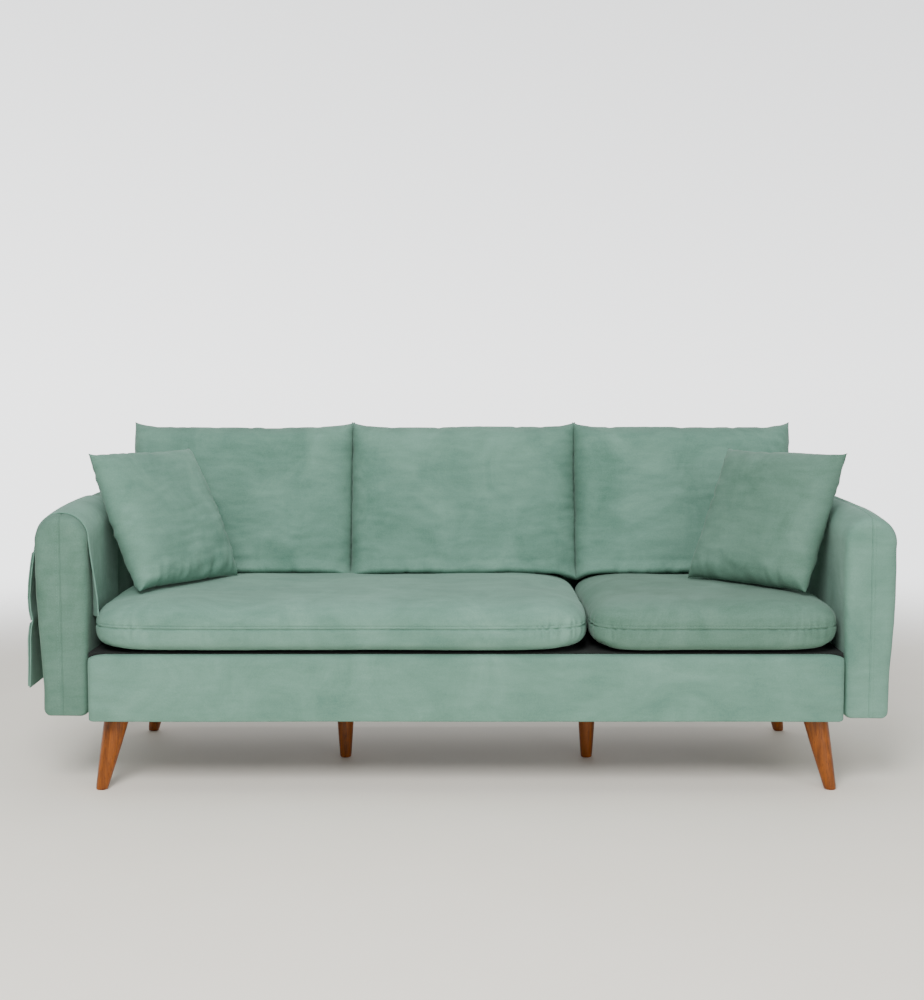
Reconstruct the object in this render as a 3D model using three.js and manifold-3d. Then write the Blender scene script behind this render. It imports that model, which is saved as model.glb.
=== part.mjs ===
// A three-seat sofa on tapered wooden legs, with loose cushions and an arm organiser.
// Millimetres, +X to the right of someone facing it, -Y towards its front, +Z up.
// The pieces are laid out with Y = 0 at the front of the base and X = 0 in its middle,
// and the exported group moves them so that the origin is under the middle of the whole sofa.
import * as THREE from "three";
import { mergeVertices } from "three/addons/utils/BufferGeometryUtils.js";
import Module from "manifold-3d";

const wasm = await Module();
wasm.setup();

// ---- Driving dimensions ----
const GAP = 0.4; // between pieces that touch

const BASE_WIDTH = 1810;
const BASE_DEPTH = 752;
const BASE_HEIGHT = 161;
const BAND_PAD = 22; // padded cover on the front of the base
const BAND_ROUND = 20;
const RAIL = 25; // board thickness of the base frame
const BEAM_WIDTH = 60;
const BEAM_HEIGHT = 100;
const BLOCK = 150; // short sides of a corner block
const BLOCK_HEIGHT = 60;
const DECK_THICK = 12;
const DECK_PROUD = 2.5; // above the rails
const DUST_SHEET = 1.2;

const LEG_HEIGHT = 176;
const LEG_TOP_RADIUS = 31;
const LEG_FOOT_RADIUS = 14.5;
const MIDDLE_LEG_RADIUS = 26;
const FOOT_ROUND = 3;
const LEG_SPLAY = 35; // sideways lean of a corner leg over its height
const LEG_RAKE = 28; // lean to the front or rear
const LEG_INSET_SIDE = 55;
const LEG_INSET_FRONT = 78;
const LEG_INSET_REAR = 110;
const MIDDLE_LEG_X = BASE_WIDTH / 2 - 588;
const MIDDLE_LEG_Y = BASE_DEPTH / 2 - 8;
const PLATE_SIZE = 72;
const PLATE_THICK = 3;

const SPRING_WIRE = 4;
const SPRING_SWING = 24; // half the width of the zigzag
const SPRING_WAVES = 9;
const SPRING_SPACING = 200;
const SPRING_BOW = 8;

const ARM_THICK = 120;
const ARM_HEIGHT = 482; // at the front, without its lift
const ARM_TAPER = 12; // how much narrower the arm is at its foot
const ARM_TAPER_SHARE = 0.62; // share of its height below which it narrows
const ARM_CORNER = 20;
const ARM_EDGE_ROUND = 12;
const ARM_FRONT = 17; // set back from the base's front
const ARM_DEPTH = BASE_DEPTH + 31;
const ARM_RISE = 25; // the top is this much higher at the rear
const ARM_RISE_LENGTH = 150;
const ARM_LIFT = { left: 9, right: 3 }; // above the base's underside
const ARM_TO_BASE = 3;
const ARM_PAD = 40;
const ARM_BOARD = 38;
const BOLT_DIAMETER = 8;
const BOLT_HEAD = 16;
const BOLT_HEAD_HEIGHT = 6;
const BOLT_Y = [230, BASE_DEPTH - 192];
const BOLT_Z = LEG_HEIGHT + 86;

const RECLINE = THREE.MathUtils.degToRad(13);
const SEAT_TOP = LEG_HEIGHT + BASE_HEIGHT + 133;
const BACK_TOP = SEAT_TOP + 285;
const BACK_THICK = 72; // level thickness of the back
const BACK_FRONT = BASE_DEPTH - 49; // front of the back, measured at SEAT_TOP
const BACK_PAD = 22;
const BACK_SKIN = 8;
const BACK_ROUND = 24;
const POST_WIDTH = 60;
const TOP_RAIL_HEIGHT = 60;

const SEAT_NOSE = -8;
const SEAT_OVER_DECK = 1.5;
const SEAT_DEPTH = BASE_DEPTH - 82;
const SEAT_SPLIT = 296.5;
const SEAT_SIDE_CLEARANCE = 8; // between a cushion and the arm, room for the organiser
const CUSHION_GAP = 5;
const COVER_WALL = 6;
const ZIP_HALF = 1.5; // half the width of a zip opening
const ZIP_PAST = 1; // how far its cut runs out past the cover
const FINE = 6; // faces along each long side of a puffed form, and four through its thickness
const COARSE = 4;
const THROUGH = 4;

const BACK_CUSHION_HEIGHT = 405;
const BACK_CUSHION_THICK = 156;
const BACK_CUSHION_CLEARANCE = 9; // to the back, measured at SEAT_TOP
const BACK_CUSHION_SINK = 1; // into the height of the seat, where both forms curve away
// middle of its thickness where it meets the seat
const BACK_CUSHION_MID = BACK_FRONT - BACK_CUSHION_CLEARANCE - BACK_CUSHION_THICK / 2;
const BACK_SPLITS = [588 - BASE_WIDTH / 2, BASE_WIDTH / 2 - 602];
const OUTER_EAR = { left: BASE_WIDTH / 2 + 35, right: BASE_WIDTH / 2 + 7 }; // reach of the outer top corners
const OUTER_FOOT = BASE_WIDTH / 2 - 37;

const PILLOW_SIZE = 366;
const PILLOW_THICK = 106;
const PILLOW_LEAN = THREE.MathUtils.degToRad(25.8);
const PILLOWS = {
  left: {
    place: [132 - BASE_WIDTH / 2, BACK_CUSHION_MID - 298, SEAT_TOP + 170],
    turn: THREE.MathUtils.degToRad(58.9),
  },
  right: {
    place: [BASE_WIDTH / 2 - 140, BACK_CUSHION_MID - 326, SEAT_TOP + 171],
    turn: THREE.MathUtils.degToRad(-48.5),
  },
};

const ORGANISER_FRONT = 45;
const ORGANISER_WIDTH = 300;
const ORGANISER_SHEET = 3;
const ORGANISER_CLEARANCE = 2;
const ORGANISER_HEM = LEG_HEIGHT + 74; // height of the outer hem above the floor
const ORGANISER_INNER_HEM = LEG_HEIGHT + 245;
const ORGANISER_FLARE = 20; // how far the outer hem hangs out from the arm
const POCKET_DEPTH = 18;
const POCKET_WALL = 2;
const POCKET_SEAM = 8;
const POCKETS = {
  upper: { top: LEG_HEIGHT + 400, bottom: LEG_HEIGHT + 238 },
  lower: { top: LEG_HEIGHT + 226, bottom: LEG_HEIGHT + 84 },
};

// ---- Worked out from the driving dimensions ----
const BASE_TOP = LEG_HEIGHT + BASE_HEIGHT;
const DECK_TOP = BASE_TOP + DECK_PROUD;
const DECK_BOTTOM = DECK_TOP - DECK_THICK;
const FRAME_BOTTOM = LEG_HEIGHT + PLATE_THICK + DUST_SHEET + 3 * GAP;
const FRAME_TOP = DECK_BOTTOM - GAP;
const FRAME_HALF = BASE_WIDTH / 2 - 1;
const FRAME_FRONT = BAND_PAD + GAP;
const FRAME_REAR = BASE_DEPTH - BACK_SKIN - GAP;
const ARM_INNER = BASE_WIDTH / 2 + ARM_TO_BASE;
const SEAT_HALF = ARM_INNER - SEAT_SIDE_CLEARANCE;
const LEAN_SLOPE = Math.tan(RECLINE);
const backFrontAt = (z) => BACK_FRONT + (z - SEAT_TOP) * LEAN_SLOPE;
const backRearAt = (z) => backFrontAt(z) + BACK_THICK;
const backSkirtTop = BASE_TOP + (BASE_DEPTH - backRearAt(BASE_TOP)) / LEAN_SLOPE;
const armRiseAt = (y) => ARM_RISE * (1 - Math.exp(-Math.max(0, y - ARM_FRONT) / ARM_RISE_LENGTH));

// ---- Materials ----
const velvet = { color: 0x86a596, roughness: 0.95, metalness: 0 };
const innerVelvet = { color: 0x7b998b, roughness: 0.95, metalness: 0 };
const foam = { color: 0xe8dfc4, roughness: 0.9, metalness: 0 };
const fibre = { color: 0xf3f2ee, roughness: 0.95, metalness: 0 };
const stainedBeech = { color: 0xa8642c, roughness: 0.45, metalness: 0 };
const pine = { color: 0xd8b98a, roughness: 0.8, metalness: 0 };
const zincSteel = { color: 0xb9bcc0, roughness: 0.4, metalness: 1 };
const springSteel = { color: 0x55585c, roughness: 0.5, metalness: 1 };
const feltPad = { color: 0xc9c5bb, roughness: 1, metalness: 0 };
const blackSheet = { color: 0x1d1d1f, roughness: 1, metalness: 0 };

const sofa = new THREE.Group();

function addPiece(parent, name, geometry, finish) {
  const mesh = new THREE.Mesh(geometry, new THREE.MeshStandardMaterial(finish));
  mesh.name = name;
  parent.add(mesh);
  return mesh;
}

// ---- Solid cutting and joining ----
function toSolid(geometry) {
  const bare = geometry.clone();
  bare.deleteAttribute("normal");
  bare.deleteAttribute("uv");
  const merged = mergeVertices(bare, 1e-3);
  return new wasm.Manifold(
    new wasm.Mesh({
      numProp: 3,
      vertProperties: new Float32Array(merged.attributes.position.array),
      triVerts: new Uint32Array(merged.index.array),
    }),
  );
}

function toGeometry(solid) {
  const mesh = solid.getMesh();
  const geometry = new THREE.BufferGeometry();
  geometry.setAttribute("position", new THREE.BufferAttribute(mesh.vertProperties, 3));
  geometry.setIndex(new THREE.BufferAttribute(mesh.triVerts, 1));
  geometry.computeVertexNormals();
  return geometry;
}

function cut(body, ...tools) {
  const solid = tools.reduce((left, tool) => left.subtract(toSolid(tool)), toSolid(body));
  return toGeometry(solid);
}

function join(first, ...others) {
  const solid = others.reduce((sum, other) => sum.add(toSolid(other)), toSolid(first));
  return toGeometry(solid);
}

// ---- Basic forms ----
// A box given by its lowest and highest corner.
function block(low, high) {
  const size = high.map((value, axis) => value - low[axis]);
  const middle = high.map((value, axis) => (value + low[axis]) / 2);
  return new THREE.BoxGeometry(...size).translate(...middle);
}

// A closed outline with each corner rounded by its own radius.
function roundedOutline(corners) {
  const shape = new THREE.Shape();
  corners.forEach(([x, y, radius], i) => {
    const here = new THREE.Vector2(x, y);
    const before = new THREE.Vector2(...corners.at(i - 1).slice(0, 2));
    const after = new THREE.Vector2(...corners[(i + 1) % corners.length].slice(0, 2));
    const start = here.clone().add(before.sub(here).setLength(radius));
    const end = here.clone().add(after.sub(here).setLength(radius));
    if (i === 0) shape.moveTo(start.x, start.y);
    else shape.lineTo(start.x, start.y);
    if (radius > 0) shape.quadraticCurveTo(x, y, end.x, end.y);
  });
  shape.closePath();
  return shape;
}

// Extrudes a Y-Z outline along X, centred on X = 0.
function alongX(outline, length, curveSegments = 4) {
  return new THREE.ExtrudeGeometry(outline, { depth: length, bevelEnabled: false, curveSegments })
    .translate(0, 0, -length / 2)
    .rotateY(Math.PI / 2)
    .rotateX(Math.PI / 2);
}

// A cylinder along X.
function rod(radius, x0, x1, y, z, sides = 12) {
  return new THREE.CylinderGeometry(radius, radius, x1 - x0, sides)
    .rotateZ(Math.PI / 2)
    .translate((x0 + x1) / 2, y, z);
}

// The two holes that an arm's bolts pass through, from x0 to x1.
function boltHoles(x0, x1) {
  return BOLT_Y.map((y) => rod(BOLT_DIAMETER / 2 + GAP, x0, x1, y, BOLT_Z));
}

// A puffed closed form: |x/a|^px + |y/b|^py + |z/c|^pz = 1, made by pushing a cube's skin out.
function puffed(size, power, segments) {
  const geometry = new THREE.BoxGeometry(2, 2, 2, ...segments);
  const points = geometry.attributes.position;
  const level = (p, reach) =>
    p.reduce((sum, value, axis) => sum + Math.abs(value * reach) ** power[axis], 0);
  for (let i = 0; i < points.count; i += 1) {
    const cube = [points.getX(i), points.getY(i), points.getZ(i)];
    const spread = cube.map((value) => Math.sign(value) * Math.sqrt(Math.abs(value)));
    let near = 0;
    let far = 1.01;
    for (let step = 0; step < 40; step += 1) {
      const reach = (near + far) / 2;
      if (level(spread, reach) < 1) near = reach;
      else far = reach;
    }
    points.setXYZ(i, ...spread.map((value, axis) => (value * near * size[axis]) / 2));
  }
  return geometry;
}

// Slides each point of a form sideways in proportion to its height, so its ends slope.
function taperEnds(geometry, height, lowEnds, highEnds) {
  const points = geometry.attributes.position;
  const middle = (lowEnds[0] + lowEnds[1] + highEnds[0] + highEnds[1]) / 4;
  const half = (lowEnds[1] - lowEnds[0] + highEnds[1] - highEnds[0]) / 4;
  for (let i = 0; i < points.count; i += 1) {
    const rise = points.getZ(i) / height + 0.5;
    const side = points.getX(i) / half;
    const left = THREE.MathUtils.lerp(lowEnds[0], highEnds[0], rise);
    const right = THREE.MathUtils.lerp(lowEnds[1], highEnds[1], rise);
    points.setX(i, (left + right) / 2 + (side * (right - left)) / 2 - middle);
  }
  return geometry;
}

// A sewn cover with its zip opening, and the filling inside it.
function coverAndFilling(makeForm, zip) {
  const cover = cut(makeForm(0, FINE), makeForm(COVER_WALL, COARSE), zip);
  const filling = makeForm(COVER_WALL + GAP * 2, COARSE);
  return { cover, filling };
}

// ---- Legs ----
function legForm(topRadius) {
  const profile = [
    new THREE.Vector2(0, 0),
    new THREE.Vector2(LEG_FOOT_RADIUS - FOOT_ROUND, 0),
    new THREE.Vector2(LEG_FOOT_RADIUS, FOOT_ROUND),
    new THREE.Vector2(topRadius, LEG_HEIGHT),
    new THREE.Vector2(0, LEG_HEIGHT),
  ];
  return new THREE.LatheGeometry(profile, 16).rotateX(Math.PI / 2);
}

function buildLegs() {
  const cornerX = BASE_WIDTH / 2 - LEG_INSET_SIDE;
  const places = [];
  for (const side of [-1, 1]) {
    const hand = side < 0 ? "left" : "right";
    places.push(
      { name: `front_${hand}`, x: side * cornerX, y: LEG_INSET_FRONT, splay: side, rake: -1 },
      { name: `rear_${hand}`, x: side * cornerX, y: BASE_DEPTH - LEG_INSET_REAR, splay: side, rake: 1 },
      { name: `middle_${hand}`, x: side * MIDDLE_LEG_X, y: MIDDLE_LEG_Y, splay: 0, rake: 0 },
    );
  }
  for (const { name, x, y, splay, rake } of places) {
    const radius = splay === 0 ? MIDDLE_LEG_RADIUS : LEG_TOP_RADIUS;
    const slopeX = (-splay * LEG_SPLAY) / LEG_HEIGHT;
    const slopeY = (-rake * LEG_RAKE) / LEG_HEIGHT;
    const lean = new THREE.Matrix4().makeShear(0, 0, 0, 0, slopeX, slopeY);
    const leg = legForm(radius)
      .translate(0, 0, -LEG_HEIGHT)
      .applyMatrix4(lean)
      .translate(x, y, LEG_HEIGHT);
    addPiece(sofa, `leg_${name}`, leg, stainedBeech);
    const half = PLATE_SIZE / 2;
    const bottom = LEG_HEIGHT + GAP;
    const plate = block([x - half, y - half, bottom], [x + half, y + half, bottom + PLATE_THICK]);
    addPiece(sofa, `leg_plate_${name}`, plate, zincSteel);
  }
}

// ---- Base frame ----
function buildBaseFrame() {
  const z = [FRAME_BOTTOM, FRAME_TOP];
  const innerFront = FRAME_FRONT + RAIL + GAP;
  const innerRear = FRAME_REAR - RAIL - GAP;
  const front = block([-FRAME_HALF, FRAME_FRONT, z[0]], [FRAME_HALF, FRAME_FRONT + RAIL, z[1]]);
  const rear = block([-FRAME_HALF, FRAME_REAR - RAIL, z[0]], [FRAME_HALF, FRAME_REAR, z[1]]);
  addPiece(sofa, "base_front_rail", front, pine);
  addPiece(sofa, "base_rear_rail", rear, pine);
  for (const side of [-1, 1]) {
    const hand = side < 0 ? "left" : "right";
    const rail = block([FRAME_HALF - RAIL, innerFront, z[0]], [FRAME_HALF, innerRear, z[1]]);
    const holes = boltHoles(FRAME_HALF - 2 * RAIL, FRAME_HALF + RAIL);
    addPiece(sofa, `base_side_rail_${hand}`, cut(rail, ...holes), pine).scale.x = side;

    const beam = block(
      [MIDDLE_LEG_X - BEAM_WIDTH / 2, innerFront, z[0]],
      [MIDDLE_LEG_X + BEAM_WIDTH / 2, innerRear, z[0] + BEAM_HEIGHT],
    );
    addPiece(sofa, `base_cross_beam_${hand}`, beam, pine).scale.x = side;

    const cornerX = FRAME_HALF - RAIL - GAP;
    for (const [place, y, into] of [["front", innerFront, 1], ["rear", innerRear, -1]]) {
      const outline = new THREE.Shape([
        new THREE.Vector2(cornerX, y),
        new THREE.Vector2(cornerX, y + into * BLOCK),
        new THREE.Vector2(cornerX - BLOCK, y),
      ]);
      const corner = new THREE.ExtrudeGeometry(outline, { depth: BLOCK_HEIGHT, bevelEnabled: false });
      corner.translate(0, 0, z[0]);
      addPiece(sofa, `corner_block_${place}_${hand}`, corner, pine).scale.x = side;
    }
  }
}

// A sinuous wire spring from the front rail to the rear rail, bowed up a little.
class Zigzag extends THREE.Curve {
  constructor(length, swing, waves, bow) {
    super();
    Object.assign(this, { length, swing, waves, bow });
  }

  getPoint(t, target = new THREE.Vector3()) {
    const x = this.swing * Math.sin(2 * Math.PI * this.waves * t);
    return target.set(x, this.length * t, this.bow * Math.sin(Math.PI * t));
  }
}

function buildSprings() {
  const front = FRAME_FRONT + RAIL + GAP + SPRING_WIRE;
  const length = FRAME_REAR - RAIL - GAP - SPRING_WIRE - front;
  const height = FRAME_TOP - SPRING_BOW - SPRING_WIRE;
  const section = new THREE.Shape().absarc(0, 0, SPRING_WIRE / 2, 0, 2 * Math.PI);
  const bays = [-3, -2, -0.5, 0.5, 2, 3];
  bays.forEach((bay, i) => {
    const spring = new THREE.ExtrudeGeometry(section, {
      steps: SPRING_WAVES * 5,
      curveSegments: 2,
      extrudePath: new Zigzag(length, SPRING_SWING, SPRING_WAVES, SPRING_BOW),
    });
    spring.translate(bay * SPRING_SPACING, front, height);
    addPiece(sofa, `seat_spring_${i + 1}`, spring, springSteel);
  });
}

// ---- Base upholstery ----
function buildBaseUpholstery() {
  const section = roundedOutline([
    [0, LEG_HEIGHT, 3],
    [0, BASE_TOP, BAND_ROUND],
    [BAND_PAD, BASE_TOP, 0],
    [BAND_PAD, LEG_HEIGHT, 0],
  ]);
  addPiece(sofa, "base_front_cover", alongX(section, BASE_WIDTH), velvet);
  const deckRear = backFrontAt(DECK_BOTTOM) - GAP;
  const deck = block([-FRAME_HALF, FRAME_FRONT, DECK_BOTTOM], [FRAME_HALF, deckRear, DECK_TOP]);
  addPiece(sofa, "deck_pad", deck, feltPad);
  const sheetBottom = LEG_HEIGHT + PLATE_THICK + 2 * GAP;
  const sheet = block(
    [-FRAME_HALF, FRAME_FRONT, sheetBottom],
    [FRAME_HALF, FRAME_REAR, sheetBottom + DUST_SHEET],
  );
  addPiece(sofa, "dust_cover", sheet, blackSheet);
}

// ---- Arms ----
// Front view of an arm on the right: flat sides, a round top and a foot that is a little narrower.
function armOutline() {
  const radius = ARM_THICK / 2;
  const shoulder = ARM_HEIGHT - radius;
  const taperTop = ARM_HEIGHT * ARM_TAPER_SHARE;
  const foot = ARM_THICK - ARM_TAPER;
  const shape = new THREE.Shape();
  shape.moveTo(ARM_CORNER, 0);
  shape.absarc(foot - ARM_CORNER, ARM_CORNER, ARM_CORNER, -Math.PI / 2, 0);
  shape.lineTo(ARM_THICK, taperTop);
  shape.absarc(radius, shoulder, radius, 0, Math.PI);
  shape.absarc(ARM_CORNER, ARM_CORNER, ARM_CORNER, Math.PI, 1.5 * Math.PI);
  return shape;
}

function armForm() {
  const geometry = new THREE.ExtrudeGeometry(armOutline(), {
    depth: ARM_DEPTH - 2 * ARM_EDGE_ROUND,
    steps: 4,
    curveSegments: 7,
    bevelSegments: 2,
    bevelThickness: ARM_EDGE_ROUND,
    bevelSize: ARM_EDGE_ROUND,
    bevelOffset: -ARM_EDGE_ROUND,
  });
  geometry.translate(0, 0, ARM_EDGE_ROUND).rotateX(Math.PI / 2).translate(0, ARM_FRONT + ARM_DEPTH, 0);
  const points = geometry.attributes.position;
  for (let i = 0; i < points.count; i += 1) {
    const rise = armRiseAt(points.getY(i)) / ARM_HEIGHT;
    points.setZ(i, points.getZ(i) * (1 + rise));
  }
  return geometry.translate(ARM_INNER, 0, 0);
}

function buildArms() {
  const boardInner = ARM_INNER + ARM_PAD;
  const boardOuter = boardInner + ARM_BOARD;
  const boardFront = ARM_FRONT + ARM_PAD;
  const boardRear = ARM_FRONT + ARM_DEPTH - ARM_PAD;
  const boardTop = ARM_HEIGHT - ARM_PAD;
  for (const side of [-1, 1]) {
    const hand = side < 0 ? "left" : "right";
    const foot = LEG_HEIGHT + ARM_LIFT[hand];
    const hollow = block([boardInner, boardFront, -1], [boardOuter, boardRear, boardTop]);
    const standing = armForm().translate(0, 0, foot);
    const cover = cut(standing, hollow.translate(0, 0, foot), ...boltHoles(ARM_INNER - 5, boardInner + 5));
    addPiece(sofa, `arm_cover_${hand}`, cover, velvet).scale.x = side;

    const board = block(
      [boardInner + GAP, boardFront + GAP, 0],
      [boardOuter - GAP, boardRear - GAP, boardTop - GAP],
    ).translate(0, 0, foot);
    const boltEnd = boardOuter - 8;
    const bores = boltHoles(boardInner - 5, boltEnd + 2);
    addPiece(sofa, `arm_frame_${hand}`, cut(board, ...bores), pine).scale.x = side;

    const headBack = FRAME_HALF - RAIL - GAP;
    BOLT_Y.forEach((y, i) => {
      const shank = rod(BOLT_DIAMETER / 2, headBack - 1, boltEnd, y, BOLT_Z);
      const head = rod(BOLT_HEAD / 2, headBack - BOLT_HEAD_HEIGHT, headBack, y, BOLT_Z);
      const place = i === 0 ? "front" : "rear";
      addPiece(sofa, `arm_bolt_${place}_${hand}`, join(head, shank), zincSteel).scale.x = side;
    });
  }
}

// ---- Back ----
function buildBack() {
  const length = 2 * FRAME_HALF;
  const body = roundedOutline([
    [backFrontAt(FRAME_TOP + GAP), FRAME_TOP + GAP, 0],
    [backFrontAt(BACK_TOP), BACK_TOP, BACK_ROUND],
    [backRearAt(BACK_TOP), BACK_TOP, BACK_ROUND],
    [BASE_DEPTH, backSkirtTop, 0],
    [BASE_DEPTH, FRAME_TOP + GAP, 0],
  ]);
  const innerTop = BACK_TOP - BACK_PAD;
  const hollow = new THREE.Shape([
    new THREE.Vector2(backFrontAt(FRAME_BOTTOM) + BACK_PAD, FRAME_BOTTOM),
    new THREE.Vector2(backFrontAt(innerTop) + BACK_PAD, innerTop),
    new THREE.Vector2(backRearAt(innerTop) - BACK_SKIN, innerTop),
    new THREE.Vector2(BASE_DEPTH - BACK_SKIN, backSkirtTop),
    new THREE.Vector2(BASE_DEPTH - BACK_SKIN, FRAME_BOTTOM),
  ]);
  const skirt = block(
    [-FRAME_HALF, BASE_DEPTH - BACK_SKIN, LEG_HEIGHT],
    [FRAME_HALF, BASE_DEPTH, FRAME_TOP + 2 * GAP],
  );
  const shell = cut(alongX(body, length), alongX(hollow, length - 2 * BACK_PAD));
  addPiece(sofa, "back_cover", join(shell, skirt), velvet);

  const leaning = (low, high, clearance) =>
    new THREE.Shape([
      new THREE.Vector2(backFrontAt(low) + BACK_PAD + clearance, low),
      new THREE.Vector2(backFrontAt(high) + BACK_PAD + clearance, high),
      new THREE.Vector2(backRearAt(high) - BACK_SKIN - clearance, high),
      new THREE.Vector2(backRearAt(low) - BACK_SKIN - clearance, low),
    ]);
  const railBottom = innerTop - TOP_RAIL_HEIGHT;
  const rail = alongX(leaning(railBottom, innerTop - GAP, GAP), length - 2 * BACK_PAD - 2 * GAP);
  addPiece(sofa, "back_top_rail", rail, pine);
  for (const side of [-1, 1]) {
    const hand = side < 0 ? "left" : "right";
    const post = alongX(leaning(backSkirtTop, railBottom - GAP, GAP), POST_WIDTH);
    addPiece(sofa, `back_post_${hand}`, post, pine).position.x = side * MIDDLE_LEG_X;
  }
}

// ---- Seat cushions ----
function buildSeatCushions() {
  const height = SEAT_TOP - DECK_TOP - SEAT_OVER_DECK;
  const spans = {
    wide: [-SEAT_HALF, SEAT_SPLIT - CUSHION_GAP / 2],
    narrow: [SEAT_SPLIT + CUSHION_GAP / 2, SEAT_HALF],
  };
  for (const [name, [left, right]] of Object.entries(spans)) {
    const width = right - left;
    const form = (inset, faces) =>
      puffed(
        [width - 2 * inset, SEAT_DEPTH - 2 * inset, height - 2 * inset],
        [width / 85, SEAT_DEPTH / 75, 2.6],
        [faces, faces, THROUGH],
      );
    const zip = block(
      [-width * 0.35, SEAT_DEPTH / 2 - 4 * COVER_WALL, -ZIP_HALF],
      [width * 0.35, SEAT_DEPTH / 2 + ZIP_PAST, ZIP_HALF],
    );
    const { cover, filling } = coverAndFilling(form, zip);
    const cushion = new THREE.Group();
    cushion.position.set((left + right) / 2, SEAT_NOSE + SEAT_DEPTH / 2, SEAT_TOP - height / 2);
    addPiece(cushion, `seat_cover_${name}`, cover, velvet);
    addPiece(cushion, `seat_foam_${name}`, filling, foam);
    sofa.add(cushion);
  }
}

// ---- Back cushions ----
function buildBackCushions() {
  const half = BACK_CUSHION_HEIGHT / 2;
  const [first, second] = BACK_SPLITS;
  const gap = CUSHION_GAP / 2;
  const spans = {
    left: { foot: [-OUTER_FOOT, first - gap], head: [-OUTER_EAR.left, first - gap] },
    centre: { foot: [first + gap, second - gap] },
    right: { foot: [second + gap, OUTER_FOOT], head: [second + gap, OUTER_EAR.right] },
  };
  for (const [name, { foot, head = foot }] of Object.entries(spans)) {
    const middle = (foot[0] + foot[1] + head[0] + head[1]) / 4;
    const width = (foot[1] - foot[0] + head[1] - head[0]) / 2;
    const form = (inset, faces) =>
      taperEnds(
        puffed(
          [width - 2 * inset, BACK_CUSHION_THICK - 2 * inset, BACK_CUSHION_HEIGHT - 2 * inset],
          [8, 2, 7],
          [faces, THROUGH, faces],
        ),
        BACK_CUSHION_HEIGHT,
        foot,
        head,
      );
    const zip = block(
      [-width * 0.3, -ZIP_HALF, -half - ZIP_PAST],
      [width * 0.3, ZIP_HALF, -half + 4 * COVER_WALL],
    );
    const { cover, filling } = coverAndFilling(form, zip);
    const cushion = new THREE.Group();
    cushion.position.set(
      middle,
      BACK_CUSHION_MID + half * Math.sin(RECLINE),
      SEAT_TOP - BACK_CUSHION_SINK + half * Math.cos(RECLINE),
    );
    cushion.rotation.x = -RECLINE;
    addPiece(cushion, `back_cushion_cover_${name}`, cover, velvet);
    addPiece(cushion, `back_cushion_fill_${name}`, filling, fibre);
    sofa.add(cushion);
  }
}

// ---- Throw pillows ----
function buildThrowPillows() {
  for (const [hand, { place, turn }] of Object.entries(PILLOWS)) {
    const form = (inset, faces) =>
      puffed(
        [PILLOW_SIZE - 2 * inset, PILLOW_THICK - 2 * inset, PILLOW_SIZE - 2 * inset],
        [4.5, 2, 4.5],
        [faces, THROUGH, faces],
      );
    const low = -PILLOW_SIZE / 2;
    const zip = block(
      [-PILLOW_SIZE * 0.3, -ZIP_HALF, low - ZIP_PAST],
      [PILLOW_SIZE * 0.3, ZIP_HALF, low + 4 * COVER_WALL],
    );
    const { cover, filling } = coverAndFilling(form, zip);
    const pillow = new THREE.Group();
    pillow.position.set(...place);
    pillow.rotation.set(-PILLOW_LEAN, 0, turn, "ZYX");
    addPiece(pillow, `throw_pillow_cover_${hand}`, cover, velvet);
    addPiece(pillow, `throw_pillow_fill_${hand}`, filling, fibre);
    sofa.add(pillow);
  }
}

// ---- Arm organiser ----
// A sheet laid over the left arm, with two pockets on its outer side, drawn on the right and mirrored.
function buildOrganiser() {
  const rear = ORGANISER_FRONT + ORGANISER_WIDTH;
  const armTop = LEG_HEIGHT + ARM_LIFT.left + ARM_HEIGHT + armRiseAt(rear);
  const shoulder = armTop - ARM_THICK / 2;
  const middle = ARM_INNER + ARM_THICK / 2;
  const inside = ARM_THICK / 2 + ORGANISER_CLEARANCE;
  const outside = inside + ORGANISER_SHEET;
  const flare = ORGANISER_FLARE / (shoulder - ORGANISER_HEM);
  const faceAt = (z) => middle + outside + (shoulder - z) * flare;
  const acrossArm = (outline, width, y) =>
    new THREE.ExtrudeGeometry(outline, { depth: width, bevelEnabled: false, curveSegments: 10 })
      .rotateX(Math.PI / 2)
      .translate(0, y, 0);

  const saddle = new THREE.Shape();
  saddle.moveTo(faceAt(ORGANISER_HEM) - ORGANISER_SHEET, ORGANISER_HEM);
  saddle.lineTo(faceAt(ORGANISER_HEM), ORGANISER_HEM);
  saddle.absarc(middle, shoulder, outside, 0, Math.PI);
  saddle.lineTo(middle - outside, ORGANISER_INNER_HEM);
  saddle.lineTo(middle - inside, ORGANISER_INNER_HEM);
  saddle.absarc(middle, shoulder, inside, Math.PI, 0, true);
  const sheet = acrossArm(saddle, ORGANISER_WIDTH, rear);
  addPiece(sofa, "arm_organiser", sheet, velvet).scale.x = -1;

  const slab = (low, high, from, to) =>
    new THREE.Shape([
      new THREE.Vector2(faceAt(low) + from, low),
      new THREE.Vector2(faceAt(low) + to, low),
      new THREE.Vector2(faceAt(high) + to, high),
      new THREE.Vector2(faceAt(high) + from, high),
    ]);
  for (const [tier, { top, bottom }] of Object.entries(POCKETS)) {
    const whole = acrossArm(slab(bottom, top, GAP, POCKET_DEPTH), ORGANISER_WIDTH, rear);
    const room = acrossArm(
      slab(bottom + POCKET_SEAM, top + POCKET_SEAM, GAP - 1, POCKET_DEPTH - POCKET_WALL),
      ORGANISER_WIDTH - 2 * POCKET_SEAM,
      rear - POCKET_SEAM,
    );
    addPiece(sofa, `organiser_pocket_${tier}`, cut(whole, room), innerVelvet).scale.x = -1;
  }
}

buildLegs();
buildBaseFrame();
buildSprings();
buildBaseUpholstery();
buildArms();
buildBack();
buildSeatCushions();
buildBackCushions();
buildThrowPillows();
buildOrganiser();

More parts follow.
